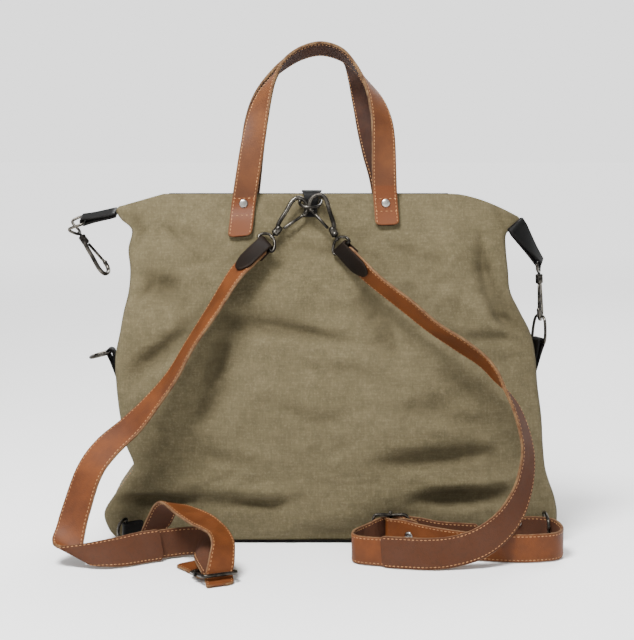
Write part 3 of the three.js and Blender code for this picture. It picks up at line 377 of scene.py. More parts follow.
class Run:
    """Sections of a flat strip: centre, side and face direction and width of each."""

    def __init__(self, centre, side, face, width):
        self.centre = np.asarray(centre, float)
        self.side = unit(np.asarray(side, float))
        self.face = unit(np.asarray(face, float))
        self.width = np.asarray(width, float)

    def fine(self, count):
        """The same strip with count sections, smoothly between the given ones."""
        t = np.linspace(0, 1, count)
        return Run(*(between(rows, t) for rows in (self.centre, self.side, self.face, self.width)))


def route(rows, width, shares):
    """Sections of a strap at shares of its route."""
    shares = np.asarray(shares, float)
    size = np.array([BAG_WIDTH, BAG_DEPTH, BAG_HEIGHT])
    row = between(rows, shares)
    side = heading(row[:, 3], row[:, 4])
    ahead = between(rows, shares + 0.004)[:, :3] * size
    behind = between(rows, shares - 0.004)[:, :3] * size
    face = unit(np.cross(unit(ahead - behind), side))
    return Run(row[:, :3] * size, side, face, width * row[:, 5])


class Shape:
    """Vertices, faces and vertex values of a piece, in millimetres."""

    def __init__(self):
        self.points, self.faces, self.values, self.count = [], [], {}, 0

    def rings(self, rings, loop=False, **values):
        """Skin over rings of points of equal count, with closed ends unless it loops."""
        rings = np.asarray(rings, float)
        n, m = rings.shape[:2]
        start = self.count
        self.points.append(rings.reshape(-1, 3))
        for r in range(n if loop else n - 1):
            a, b = start + r * m, start + (r + 1) % n * m
            for i in range(m):
                j = (i + 1) % m
                self.faces.append((a + i, a + j, b + j, b + i))
        self.count += n * m
        if not loop:
            for r in (0, n - 1):
                self.points.append(rings[r].mean(0)[None])
                for i in range(m):
                    a = start + r * m
                    self.faces.append((a + i, a + (i + 1) % m, self.count))
                self.count += 1
        for key, value in values.items():
            value = np.asarray(value, float)
            flat = value.reshape(-1)
            if not loop:
                flat = np.concatenate([flat, [value[0].mean()], [value[-1].mean()]])
            self.values.setdefault(key, []).append(flat)
        return self

    def build(self, name, paint, body, slot, nodes=()):
        """Blender object of the shape in the shared frame, riding on a body."""
        mesh = bpy.data.meshes.new(name)
        points = (np.concatenate(self.points) + SHIFT) / 1000
        mesh.from_pydata(points.tolist(), [], self.faces)
        for key, value in self.values.items():
            layer = mesh.attributes.new(key, "FLOAT", "POINT")
            layer.data.foreach_set("value", np.concatenate(value).astype(np.float32))
        turn_outward(mesh)
        mesh.shade_smooth()
        mesh.materials.append(paint)
        obj = bpy.data.objects.new(name, mesh)
        bpy.context.scene.collection.objects.link(obj)
        settle(obj, body, nodes)
        return obj


def turn_outward(mesh):
    work = bmesh.new()
    work.from_mesh(mesh)
    bmesh.ops.recalc_face_normals(work, faces=work.faces)
    work.to_mesh(mesh)
    work.free()


def settle(obj, body, nodes):
    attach(obj, body)
    if nodes:
        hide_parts(*nodes)


# Leather bands

def band(run, thick, round_start=4.0, round_end=4.0, outer=1, patch=0.0):
    """Strip with rounded edges and corners. outer is the sign of its finished side and
    patch the length of the darker sewn ends."""
    shape = Shape()
    far = travelled(run.centre)
    width = run.width.copy()
    for away, radius in ((far, round_start), (far[-1] - far, round_end)):
        near = np.clip(radius - away, 0, radius)
        width -= 2 * (radius - np.sqrt(np.maximum(radius**2 - near**2, 0)))
    width = np.maximum(width, 1.5)
    soft = min(1.1, thick * 0.4)
    flat = [-1, -0.86, -0.45, 0, 0.45, 0.86, 1]
    ring, across, face, edge = [], [], [], []
    for sign in (-1, 1):
        for f in flat:
            ring.append((f * -sign, -soft * f * -sign, sign * thick / 2))
            across.append(f * -sign)
            face.append(sign)
            edge.append(1.0 if abs(f) > 0.95 else 0.0)
        for high in (sign * (thick / 2 - soft * 0.3), 0, -sign * (thick / 2 - soft * 0.3)):
            out = 0.3 if high else 0.0
            ring.append((-sign, sign * soft * out, high))
            across.append(-sign)
            face.append(high / (thick / 2))
            edge.append(1.6)
    rings = []
    for half_share, shift, high in ring:
        half = half_share * width / 2 + shift
        rings.append(run.centre + run.side * half[:, None] + run.face * high)
    rings = np.stack(rings, 1)
    n = len(width)
    spread = lambda row: np.tile(row, (n, 1))
    shape.rings(
        rings,
        across=spread(across) * width[:, None] / 2,
        face=spread(np.array(face) * outer),
        edge=spread(edge),
        patch=np.repeat(((far < patch) | (far[-1] - far < patch))[:, None], len(ring), 1),
    )
    return shape


def stitch_lines(run, thick, inset=2.4, spacing=3.9, faces=(-1, 1), edges=(-1, 1), trim=4.0):
    """Stitches along the edges of a strip: places, directions and the way each faces."""
    found = []
    for f in faces:
        for e in edges:
            line = run.centre + run.side * (e * (run.width / 2 - inset))[:, None]
            line = line + run.face * (f * (thick / 2 - 0.06))
            found.append(along_line(line, f * run.face, spacing, trim))
    return found


def along_line(line, up, spacing, trim=0.0):
    """Evenly spaced places on a line with their directions and up vectors."""
    far = travelled(line)
    count = max(2, int((far[-1] - 2 * trim) / spacing))
    at = np.linspace(trim, far[-1] - trim, count)
    pick = lambda rows, d: np.stack([np.interp(d, far, rows[:, k]) for k in range(3)], 1)
    return pick(line, at), unit(pick(line, at + 0.8) - pick(line, at - 0.8)), unit(pick(up, at))


def seam(points, face, spacing=3.4):
    """Stitches on a straight or bent line of points with one facing direction."""
    points = np.asarray(points, float)
    return along_line(points, np.tile(np.asarray(face, float), (len(points), 1)), spacing)


# Small parts repeated over points

def repeat_tree(name, kind, paint):
    """Node tree that puts one small part on every point and turns it to run_dir and up_dir."""
    tree = bpy.data.node_groups.new(name, "GeometryNodeTree")
    face = tree.interface
    face.new_socket("Geometry", in_out="INPUT", socket_type="NodeSocketGeometry")
    for label in ("Length", "Width", "Height", "Spread"):
        face.new_socket(label, in_out="INPUT", socket_type="NodeSocketFloat")
    face.new_socket("Geometry", in_out="OUTPUT", socket_type="NodeSocketGeometry")
    make, join = tree.nodes.new, tree.links.new
    start, end = make("NodeGroupInput"), make("NodeGroupOutput")
    if kind == "stitch":
        part = make("GeometryNodeMeshUVSphere")
        part.inputs["Segments"].default_value = 6
        part.inputs["Rings"].default_value = 4
        part.inputs["Radius"].default_value = 0.5
    else:
        part = make("GeometryNodeMeshCube")
    size = make("ShaderNodeCombineXYZ")
    for axis, label in zip("XYZ", ("Length", "Width", "Height")):
        join(start.outputs[label], size.inputs[axis])
    scale = make("GeometryNodeTransform")
    join(part.outputs["Mesh"], scale.inputs["Geometry"])
    join(size.outputs["Vector"], scale.inputs["Scale"])
    turns = []
    for axis, label in (("X", "run_dir"), ("Z", "up_dir")):
        direction = make("GeometryNodeInputNamedAttribute")
        direction.data_type = "FLOAT_VECTOR"
        direction.inputs["Name"].default_value = label
        turn = make("FunctionNodeAlignRotationToVector")
        turn.axis = axis
        turn.pivot_axis = "AUTO" if axis == "X" else "X"
        join(direction.outputs["Attribute"], turn.inputs["Vector"])
        turns.append(turn)
    join(turns[0].outputs["Rotation"], turns[1].inputs["Rotation"])
    vary = make("FunctionNodeRandomValue")
    vary.data_type = "FLOAT"
    vary.inputs["Seed"].default_value = 7
    low = make("ShaderNodeMath")
    low.operation = "SUBTRACT"
    low.inputs[0].default_value = 1.0
    join(start.outputs["Spread"], low.inputs[1])
    join(low.outputs["Value"], vary.inputs[2])
    vary.inputs[3].default_value = 1.0
    put = make("GeometryNodeInstanceOnPoints")
    join(start.outputs["Geometry"], put.inputs["Points"])
    join(scale.outputs["Geometry"], put.inputs["Instance"])
    join(turns[1].outputs["Rotation"], put.inputs["Rotation"])
    join(vary.outputs[1], put.inputs["Scale"])
    real = make("GeometryNodeRealizeInstances")
    colour = make("GeometryNodeSetMaterial")
    colour.inputs["Material"].default_value = paint
    join(put.outputs["Instances"], real.inputs["Geometry"])
    join(real.outputs["Geometry"], colour.inputs["Geometry"])
    join(colour.outputs["Geometry"], end.inputs["Geometry"])
    return tree


def repeat(name, lines, tree, size, paint, spread=0.12, body="bag", smooth=True):
    """Object with one small part at each place of the given lines."""
    places, runs, ups = (np.concatenate([line[k] for line in lines]) for k in range(3))
    mesh = bpy.data.meshes.new(name + "_points")
    mesh.from_pydata(((places + SHIFT) / 1000).tolist(), [], [])
    for label, rows in (("run_dir", runs), ("up_dir", ups)):
        layer = mesh.attributes.new(label, "FLOAT_VECTOR", "POINT")
        layer.data.foreach_set("vector", rows.astype(np.float32).ravel())
    obj = bpy.data.objects.new(name, mesh)
    bpy.context.scene.collection.objects.link(obj)
    modifier = obj.modifiers.new("repeat", "NODES")
    modifier.node_group = tree
    values = dict(zip(("Length", "Width", "Height"), (s / 1000 for s in size)), Spread=spread)
    for item in tree.interface.items_tree:
        if item.in_out == "INPUT" and item.name in values:
            modifier[item.identifier] = values[item.name]
    graph = bpy.context.evaluated_depsgraph_get()
    made = bpy.data.meshes.new_from_object(obj.evaluated_get(graph))
    obj.modifiers.clear()
    obj.data = made
    made.name = name
    if smooth:
        made.shade_smooth()
    if not made.materials:
        made.materials.append(paint)
    settle(obj, body, ())
    return obj


# Wires and turned parts

def curve_points(points, closed, count):
    """Centripetal curve through points, sampled evenly by length."""
    points = [np.asarray(p, float) for p in points]
    n = len(points)
    get = lambda i: points[i % n] if closed else points[max(0, min(n - 1, i))]
    dense = []
    for i in range(n if closed else n - 1):
        p0, p1, p2, p3 = (get(i + k) for k in (-1, 0, 1, 2))
        if not closed and i == 0:
            p0 = 2 * p1 - p2
        if not closed and i == n - 2:
            p3 = 2 * p2 - p1
        gaps = [max(np.linalg.norm(b - a) ** 0.5, 1e-4) for a, b in ((p0, p1), (p1, p2), (p2, p3))]
        d0, d1, d2 = gaps
        m1 = ((p1 - p0) / d0 - (p2 - p0) / (d0 + d1) + (p2 - p1) / d1) * d1
        m2 = ((p2 - p1) / d1 - (p3 - p1) / (d1 + d2) + (p3 - p2) / d2) * d1
        u = np.linspace(0, 1, 24, endpoint=False)[:, None]
        dense.append(blend(u, p1, m1, p2, m2))
    dense = np.concatenate(dense + [[points[0] if closed else points[-1]]])
    far = travelled(dense)
    at = np.linspace(0, far[-1], count + 1 if closed else count)
    line = np.stack([np.interp(at, far, dense[:, k]) for k in range(3)], 1)
    return line[:-1] if closed else line


def tube(shape, points, diameter, closed, count, sides=12):
    """Round wire along a curve, with domed ends when it is open."""
    line = curve_points(points, closed, count)
    if closed:
        ahead = unit(np.roll(line, -1, 0) - np.roll(line, 1, 0))
    else:
        ahead = unit(np.gradient(line, axis=0))
    normal = np.cross(ahead[0], [0.3, 0.5, 0.81])
    normals = []
    for a in ahead:
        normal = normal - a * normal.dot(a)
        normal = normal / np.linalg.norm(normal)
        normals.append(normal)
    normals = np.array(normals)
    if closed:
        last = normals[-1] - ahead[0] * normals[-1].dot(ahead[0])
        last /= np.linalg.norm(last)
        twist = math.atan2(np.dot(np.cross(last, normals[0]), ahead[0]), last.dot(normals[0]))
        angle = np.linspace(0, twist, len(line), endpoint=False)[:, None]
        normals = normals * np.cos(angle) + np.cross(ahead, normals) * np.sin(angle)
    other = np.cross(ahead, normals)
    a = np.linspace(0, 2 * math.pi, sides, endpoint=False)
    radius = np.full(len(line), diameter / 2)
    if not closed:
        r = diameter / 2
        dome = [0.35, 0.75, 0.95]
        push = [0.0, 0.25, 0.6]
        line = np.concatenate([
            [line[0] - ahead[0] * r * (0.9 - p) for p in push],
            line,
            [line[-1] + ahead[-1] * r * (0.9 - p) for p in push[::-1]],
        ])
        radius = np.concatenate([[r * d for d in dome], radius, [r * d for d in dome[::-1]]])
        normals = np.concatenate([normals[:1]] * 3 + [normals] + [normals[-1:]] * 3)
        other = np.concatenate([other[:1]] * 3 + [other] + [other[-1:]] * 3)
    ring = (
        normals[:, None] * np.cos(a)[None, :, None] + other[:, None] * np.sin(a)[None, :, None]
    )
    shape.rings(line[:, None] + ring * radius[:, None, None], loop=closed)
    return shape


def turned(shape, start, axis, stations, sides=20):
    """Turned solid on an axis. Stations are distance along and radius."""
    z = unit(np.asarray(axis, float))
    x = unit(np.cross([0, 0, 1] if abs(z[2]) < 0.9 else [1, 0, 0], z))
    y = np.cross(z, x)
    a = np.linspace(0, 2 * math.pi, sides, endpoint=False)
    ring = x * np.cos(a)[:, None] + y * np.sin(a)[:, None]
    rings = [np.asarray(start, float) + z * d + ring * r for d, r in stations]
    shape.rings(rings)
    return shape


# Canvas body

# Fine creases of the front panel in millimetres: two ends, depth and width
CREASES = [
    [-188, 272, -150, 246, 5, 15],
    [28, 253, 55, 226, 5, 13],
    [55, 226, 67, 195, 3.5, 8],
    [-115, 236, -91, 224, 5, 10],
    [-91, 226, 20, 205, 2.5, 7],
    [-109, 218, -123, 161, 3.5, 9],
    [-119, 151, -134, 126, 4, 11],
    [-122, 234, -210, 166, 3.6, 11],
    [-182, 120, -162, 113, 3, 8],
    [51, 79, 168, 91, 4, 10],
    [86, 40, 184, 50, 5, 11],
    [-220, 43, -132, 37, 6, 8],
    [-132, 37, -30, 43, 4, 8],
    [-28, 11, 31, 11, 4, 10],
    [150, 298, 170, 228, 4, 9],
    [170, 228, 198, 217, 4, 8],
    [134, 209, 197, 207, 3.5, 7],
    [125, 343, 128, 253, -3, 14],
    [73, 138, 122, 138, 3, 12],
    [-203, 331, -191, 316, 5, 8],
    [168, 344, 177, 318, 3.5, 7],
    [186, 330, 196, 318, 3, 5],
    [-186, 322, -198, 300, 3, 6],
    [-172, 326, -128, 284, 2.5, 7],
    [-150, 318, -120, 292, 2, 6],
    [-196, 246, -176, 262, 2.5, 6],
    [-84, 220, 26, 206, 2.0, 8],
    [-104, 214, -112, 175, 3, 6],
    [30, 262, 78, 214, 3, 7],
    [112, 180, 150, 150, 2.5, 8],
    [150, 320, 160, 268, 3, 6],
    [176, 262, 168, 232, 3, 5],
    [168, 232, 192, 214, 3.5, 5],
    [100, 50, 178, 54, 2, 6],
    [-214, 46, -136, 42, 3, 5],
    [45, 84, 165, 95, 2.0, 8],
    [-60, 140, 20, 120, 1.8, 9],
    [-30, 180, 60, 170, 1.6, 9],
    [100, 130, 170, 120, 2, 8],
    [-150, 95, -80, 80, 2, 8],
    [-40, 300, 30, 290, 1.8, 8],
    [60, 300, 120, 280, 1.8, 8],
]


# All fold lines in millimetres: two ends, depth and width
FOLD_LINES = [row[:4] + [row[4] * 1.25, row[5] * 0.85] for row in CREASES]
for x0, z0, x1, z1, deep, wide in FOLDS[::-1]:
    ends = [x0 * BAG_WIDTH, z0 * BAG_HEIGHT, x1 * BAG_WIDTH, z1 * BAG_HEIGHT]
    FOLD_LINES.insert(0, ends + [deep * BAG_DEPTH * 0.8, wide * BAG_DEPTH * 0.9])

# Edge of the panel that is tucked in above the right side ring: heights and places across
TUCK_HEIGHTS, TUCK_EDGE, TUCK_FADE, TUCK_DEPTH = [212.5, 218.6, 228, 247], [195, 179, 168, 177], 6, 4


def creased(x, z):
    """Depth pressed in at places on the front panel, and the painted shade darkening each fold and the
    tucked-in edge.
    """
    depth = np.zeros_like(x)
    dark = np.zeros_like(x)
    for x0, z0, x1, z1, deep, wide in FOLD_LINES:
        dx, dz = x1 - x0, z1 - z0
        length = math.hypot(dx, dz)
        t = np.clip(((x - x0) * dx + (z - z0) * dz) / length**2, 0, 1)
        ox, oz = x - x0 - dx * t, z - z0 - dz * t
        away = np.hypot(ox, oz) / wide
        fade = 1 - 0.7 * np.abs(2 * t - 1) ** 2.5
        depth += deep * fade * np.exp(-(away**2))
        rim = np.hypot(ox, oz - 1.7 * wide) / (wide * 0.9)
        depth -= 0.35 * deep * fade * np.exp(-(rim**2))
        # painted shade: the colour darkens along each pressed-in fold
        if deep > 0:
            dark += 0.2 * deep * fade * np.exp(-((away / 0.75) ** 2))
    tucked = 1 / (1 + np.exp(-(x - np.interp(z, TUCK_HEIGHTS, TUCK_EDGE)) / 1.6))
    for inside in (z - 209, 252 - z):
        tucked = tucked * np.clip(inside / TUCK_FADE, 0, 1)
    # the tucked-in edge is pressed in and also gets painted shade
    return depth + TUCK_DEPTH * tucked, np.clip(dark + 0.9 * tucked, 0, 1)


def crumple(x, z, seed):
    """Soft wrinkles of the canvas at one place, in millimetres inward."""
    bend = 9 * noise.noise(Vector((x / 70, seed, z / 55)))
    long = noise.noise(Vector(((x + bend) / 62, seed + 3, (z + bend) / 34)))
    sharp = 1 - abs(noise.noise(Vector(((x - bend) / 44, seed + 7, (z + bend) / 26)))) * 3.2
    small = noise.noise(Vector((x / 13, seed + 11, z / 9)))
    pucker = 1 - abs(noise.noise(Vector(((x + 2 * bend) / 24, seed + 17, z / 15)))) * 4
    return 0.8 + 2.1 * long + 1.1 * max(sharp, -0.4) + 0.5 * max(pucker, -0.2) + 0.4 * small


FRONT_COLUMNS, SIDE_COLUMNS, BACK_COLUMNS, BODY_ROWS = 150, 20, 56, 116
# Corner rounding and the depth from which folds are full, in millimetres
CORNER_ROUNDING, FULL_DEPTH = 18, 40
# How fast folds grow away from the seams, and the share of the height where wrinkles calm
FRONT_FADE, BACK_FADE, CALM_FROM, CALM_OVER = 17, 8, 0.93, 0.05


def level_height(up, fall_l, fall_r, s):
    left = np.maximum(0, 1 - s / LEFT_FALL)
    right = np.maximum(0, 1 - (1 - s) / RIGHT_FALL) ** 1.6
    return (up - fall_l * left - fall_r * right) * BAG_HEIGHT


def body_ring(level, inside, lift):
    """One ring of the canvas, with its painted fold shade and which panel each point is on."""
    up, left, right, front, back, tuck, puff, fall_l, fall_r = level
    ends = max(0, up - 0.86) / 0.14 * 24 if inside else 0
    left, right = left * BAG_WIDTH + inside + ends, right * BAG_WIDTH - inside - ends
    front, back = front * BAG_DEPTH + inside, back * BAG_DEPTH - inside
    rounding = min(CORNER_ROUNDING, (back - front) * 0.45)
    room = min(1, (back - front) / FULL_DEPTH)
    calm = 1 - 0.9 * min(1, max(0, (up - CALM_FROM) / CALM_OVER))
    z = up * BAG_HEIGHT
    height = lambda s: level_height(up, fall_l, fall_r, s)
    flat = np.sin(np.pi * np.linspace(0, 1, SIDE_COLUMNS))

    def wide_panel(s, fade, seed):
        """Places across a panel, nearness to the seams, rounding and wrinkles there."""
        x = left + rounding * 0.12 + (right - left - rounding * 0.24) * s
        inner = np.minimum(s, 1 - s) * fade
        corner = rounding * 0.3 * np.maximum(0, 1 - inner) ** 2
        return x, np.minimum(1, inner), corner, np.array([crumple(a, z, seed) for a in x])

    def gusset(rows, seed, seam_x, inward, s):
        """Points of a side panel, tucked in between its seams."""
        wave = np.array([crumple(a, z, seed) for a in rows]) * flat * calm * room * 0.8
        x = seam_x + inward * (tuck * BAG_DEPTH * flat**2.5 + wave)
        return np.stack([x, rows, np.full_like(rows, height(s))], 1)

    s = np.linspace(0, 1, FRONT_COLUMNS)
    x, inner, corner, waves = wide_panel(s, FRONT_FADE, 1.0)
    swell = puff * BAG_DEPTH * np.sin(np.pi * s) ** 0.8
    depth, dark = creased(x, height(s))
    depth = (depth + waves * calm * min(1, up * 12)) * inner * room
    y = np.minimum(front + corner - swell + depth, front * 0.6 + back * 0.4)
    ring = [np.stack([x, y, height(s)], 1)]
    rows = front + rounding * 0.5 + (back - front - rounding) * np.linspace(0, 1, SIDE_COLUMNS)
    ring.append(gusset(rows, 5.0, right, -1, 1.0))
    s = np.linspace(1, 0, BACK_COLUMNS)
    x, inner, corner, waves = wide_panel(s, BACK_FADE, 9.0)
    wave = waves * calm * room * inner * 1.9
    y = back - corner + puff * BAG_DEPTH * np.sin(np.pi * s) ** 0.8 - wave
    ring.append(np.stack([x, y, height(s)], 1))
    ring.append(gusset(rows[::-1], 13.0, left, 1, 0.0))
    ring = np.concatenate(ring)
    ring[:, 2] += lift
    # painted shade of the folds, on the front panel only
    folded = np.concatenate([dark, np.zeros(len(ring) - len(dark))])
    panel = np.repeat([0.0, 1.0, 0.0, 1.0], [FRONT_COLUMNS, SIDE_COLUMNS, BACK_COLUMNS, SIDE_COLUMNS])
    return ring, folded, panel


def canvas_body():
    """Hollow canvas shell, open in a slot along the top."""
    outer, inner = [], []
    for k in range(BODY_ROWS):
        level = between(LEVELS, k / (BODY_ROWS - 1))[0]
        lift = (BASE_THICK + GAP) * (1 - level[0])
        outer.append(body_ring(level, 0, lift))
        if k % 2 == 0 or k == BODY_ROWS - 1:
            inner.append(body_ring(level, CANVAS, lift + (CANVAS if k == 0 else 0)))
    whole = outer + inner[::-1]
    rings, folded, panel = (np.stack([row[k] for row in whole]) for k in range(3))
    return Shape().rings(rings, folded=folded, panel=panel)


def outer_line(column, low, high, count=90):
    """Points on a column of the outer canvas between two shares of its levels."""
    points = []
    for t in np.linspace(low, high, count):
        level = between(LEVELS, t)[0]
        ring = body_ring(level, 0, (BASE_THICK + GAP) * (1 - level[0]))[0]
        points.append(ring[column])
    return np.array(points)


# Tabs folded round a bar

def folded_tab(path, bar, bar_side, width, back, fine=40):
    """Run of a strip along stops, round a bar and back. A stop is centre, side, face, off, width."""
    near = path[-1]
    face_near = unit(np.asarray(near[2], float))
    outward = unit(np.cross(bar_side, face_near))
    if np.dot(outward, bar - near[0]) < 0:
        outward = -outward
    rows = [(c + f * off, s, f, w) for c, s, f, off, w in path]
    for i in range(TAB_TURNS * 2 + 1):
        a = math.pi * i / (TAB_TURNS * 2)
        way = face_near * math.cos(a) + outward * math.sin(a)
        rows.append((bar + way * (BAR_ROOM - 0.05), bar_side, way, width))
    for c, s, f, off, w in path[::-1][:back]:
        rows.append((c - f * off, s, -f, w))
    return Run(*(np.array([row[k] for row in rows]) for k in range(4))).fine(fine)


def strap_tab(name, rows, outer, steps):
    """Dark tab over the hook end of a shoulder strap. Gives the place of its bar."""
    count = 16
    run = route(rows, STRAP_WIDTH, np.linspace(steps / 48, 0, count))
    path = []
    far = travelled(run.centre)
    for i in range(count):
        tip = min(1, far[i] / TIP_LENGTH)
        width = run.width[i] * (TAB_TIP + (1 - TAB_TIP) * math.sin(tip * math.pi / 2))
        path.append((run.centre[i], run.side[i], run.face[i] * outer, BAR_ROOM, width))
    start = route(rows, STRAP_WIDTH, [0])
    ahead = route(rows, STRAP_WIDTH, [0.004])
    along = unit(ahead.centre[0] - start.centre[0])
    bar = start.centre[0] + along * (-EYE_WIRE - 2 * GAP)
    run = folded_tab(path, bar, start.side[0], start.width[0], 6, 60)
    shape = band(run, TAB_THICK, 3.0, 1.0)
    shape.build(name, brown_leather, "bag", "brown_leather", (name.replace("_leather", ""),))
    lines = stitch_lines(run.fine(60), TAB_THICK, 1.9, 3.4, faces=(1,))
    return bar, start.side[0], lines


def seam_tab(name, origin, bar, side, bar_side, width, bar_width):
    """Short black tab from a seam to a bar."""
    ahead = unit(bar - origin)
    side, bar_side = unit(np.asarray(side, float)), unit(np.asarray(bar_side, float))
    off = TAB_THICK / 2 + GAP / 2
    path = []
    for t in (0, TAB_BEND):
        turn = t / TAB_BEND * 0.7
        s = unit(side * (1 - turn) + bar_side * turn)
        w = width + (bar_width - width) * turn
        place = origin + (bar - origin) * t
        path.append((place, s, unit(np.cross(ahead, s)), off * (1 + 0.4 * t / TAB_BEND), w))
    made = folded_tab(path, bar, bar_side, bar_width, 2)
    band(made, TAB_THICK, 1.0, 1.0).build(
        name + "_leather", black_leather, "bag", "black_leather", (name,)
    )
    return stitch_lines(made, TAB_THICK, 2.0, 3.2, faces=(1,), trim=1.5)


# Metal

# Distance along the axis and radius: nose and collar in millimetres, barrel in shares
NOSE = [(-0.4, 0.4), (-0.2, 2.4), (1.2, 2.5), (1.8, 0.5)]
COLLAR = [(-1.6, 0.6), (-1.2, 1.9), (0.8, 2.0)]
BARREL = [
    (-0.12, 0.5), (-0.109, 0.82), (-0.098, 0.93), (-0.087, 1.0), (-0.05, 1.0), (-0.042, 0.9),
    (-0.034, 1.0), (0.076, 1.0), (0.09, 0.9), (0.109, 0.67), (0.115, 0.3),
]


def metal_frame(at, along, out):
    """Places along and beside an axis, in the plane that faces out, and the axis itself."""
    axis = unit(np.asarray(along, float))
    facing = np.asarray(out, float)
    beside = np.cross(unit(facing - axis * facing.dot(axis)), axis)
    return lambda far, aside: at + axis * far + beside * aside, axis


def snap_hook(name, bar, barrel, along, out, across, eye_width, bulge, gate_side, body="bag"):
    """Snap hook with its rod, swivel barrel, sprung gate and the eye that holds the leather."""
    place, axis = metal_frame(barrel, along, out)
    at = lambda p: place(p[0] * HOOK_LENGTH, -gate_side * p[1] * HOOK_LENGTH)
    shape = tube(Shape(), [at(p) for p in HOOK_LINE], HOOK_ROD, False, 48, 14)
    turned(shape, at(HOOK_LINE[-1]), axis, NOSE)
    turned(shape, barrel, axis, [(a * HOOK_LENGTH, r * BARREL_RADIUS) for a, r in BARREL])
    shape.build(name + "_rod", nickel, body, "nickel", (name + "_body",))
    pivot, tip = (at(p) for p in GATE_LINE)
    long = np.linalg.norm(tip - pivot)
    r = GATE_ROD / 2
    gate = [(0, r * 0.5), (0.15, r * 0.8), (0.7, r), (long - 3.4, r), (long - 3.2, r * 0.86)]
    gate += [(long - 2.9, r), (long - 0.7, r), (long - 0.15, r * 0.8), (long, r * 0.5)]
    turned(Shape(), pivot, tip - pivot, gate).build(
        name + "_latch", nickel, name + "_gate", "nickel", (name + "_gate",)
    )
    neck = place(-NECK_REACH, 0)
    half = unit(np.asarray(across, float)) * eye_width / 2
    eye = []
    for down, share in EYE_LINE:
        shift = np.array([-1.0, 0, 0]) * math.sin(math.pi * down) * bulge
        eye.append(bar + (neck - bar) * down + half * share + shift)
    shape = tube(Shape(), eye, EYE_WIRE, True, 56, 12)
    turned(shape, neck, axis, COLLAR + [(1.4, POST_RADIUS), (POST_LENGTH - 3, POST_RADIUS)])
    shape.build(name + "_loop", nickel, "bag", "nickel", (name + "_eye",))


def d_ring(name, bar, side, out, width, deep):
    u = unit(np.asarray(side, float))
    v = np.asarray(out, float)
    v = unit(v - u * v.dot(u))
    points = [bar + u * a * width + v * d * deep for a, d in D_LINE]
    tube(Shape(), points, RING_WIRE, True, 64, 14).build(
        name + "_wire", nickel, "bag", "nickel", (name,)
    )


def buckle(name, centre, along, across):
    """Buckle frame with a middle bar whose one end stands out."""
    u, v = unit(np.asarray(along, float)), unit(np.asarray(across, float))
    half_long, half_tall = (BUCKLE_LONG - BUCKLE_WIRE) / 2, (BUCKLE_TALL - BUCKLE_WIRE) / 2
    points = [centre + u * a * half_long + v * b * half_tall for a, b in BUCKLE_LINE]
    shape = tube(Shape(), points, BUCKLE_WIRE, True, 96, 14)
    r = BUCKLE_BAR / 2
    long = half_tall * 2 + BUCKLE_STUB
    knob = r * 1.25
    stations = [(0, r), (long - 2.4, r), (long - 2.0, knob), (long - 0.6, knob), (long, r * 0.7)]
    turned(shape, centre - v * half_tall, v, stations)
    shape.build(name + "_frame", nickel, "bag", "nickel", (name,))


def rivet(name, at, out):
    """Round rivet head with a low dome and a thin rim."""
    out = unit(np.asarray(out, float))
    r, h = RIVET_DIAMETER / 2, RIVET_DOME
    stations = [(-0.4, r * 0.55), (0, r * 0.97), (0.12, r), (0.35, r * 0.98), (0.55, r * 0.9)]
    for a in np.linspace(0.15, 1.5, 6):
        stations.append((h * (0.55 + 0.45 * math.sin(a)), r * 0.9 * math.cos(a)))
    turned(Shape(), at, out, stations, 28).build(name + "_head", silver, "bag", "rivet", (name,))


# Materials

def hex_colour(text):
    """Linear colour from sRGB hex digits."""
    parts = [int(text[i : i + 2], 16) / 255 for i in (0, 2, 4)]
    line = lambda c: c / 12.92 if c <= 0.04045 else ((c + 0.055) / 1.055) ** 2.4
    return tuple(line(c) for c in parts) + (1.0,)


class Val:
    """A number socket with arithmetic."""

    def __init__(self, tree, socket):
        self.tree, self.socket = tree, socket

    def math(self, kind, first, second=0.0):
        node = self.tree.nodes.new("ShaderNodeMath")
        node.operation = kind
        for i, value in enumerate((first, second)):
            if isinstance(value, Val):
                self.tree.links.new(value.socket, node.inputs[i])
            else:
                node.inputs[i].default_value = value
        return Val(self.tree, node.outputs[0])

    def __add__(self, other):
        return self.math("ADD", self, other)

    def __sub__(self, other):
        return self.math("SUBTRACT", self, other)

    def __rsub__(self, other):
        return self.math("SUBTRACT", other, self)

    def __mul__(self, other):
        return self.math("MULTIPLY", self, other)

    __radd__ = __add__
    __rmul__ = __mul__


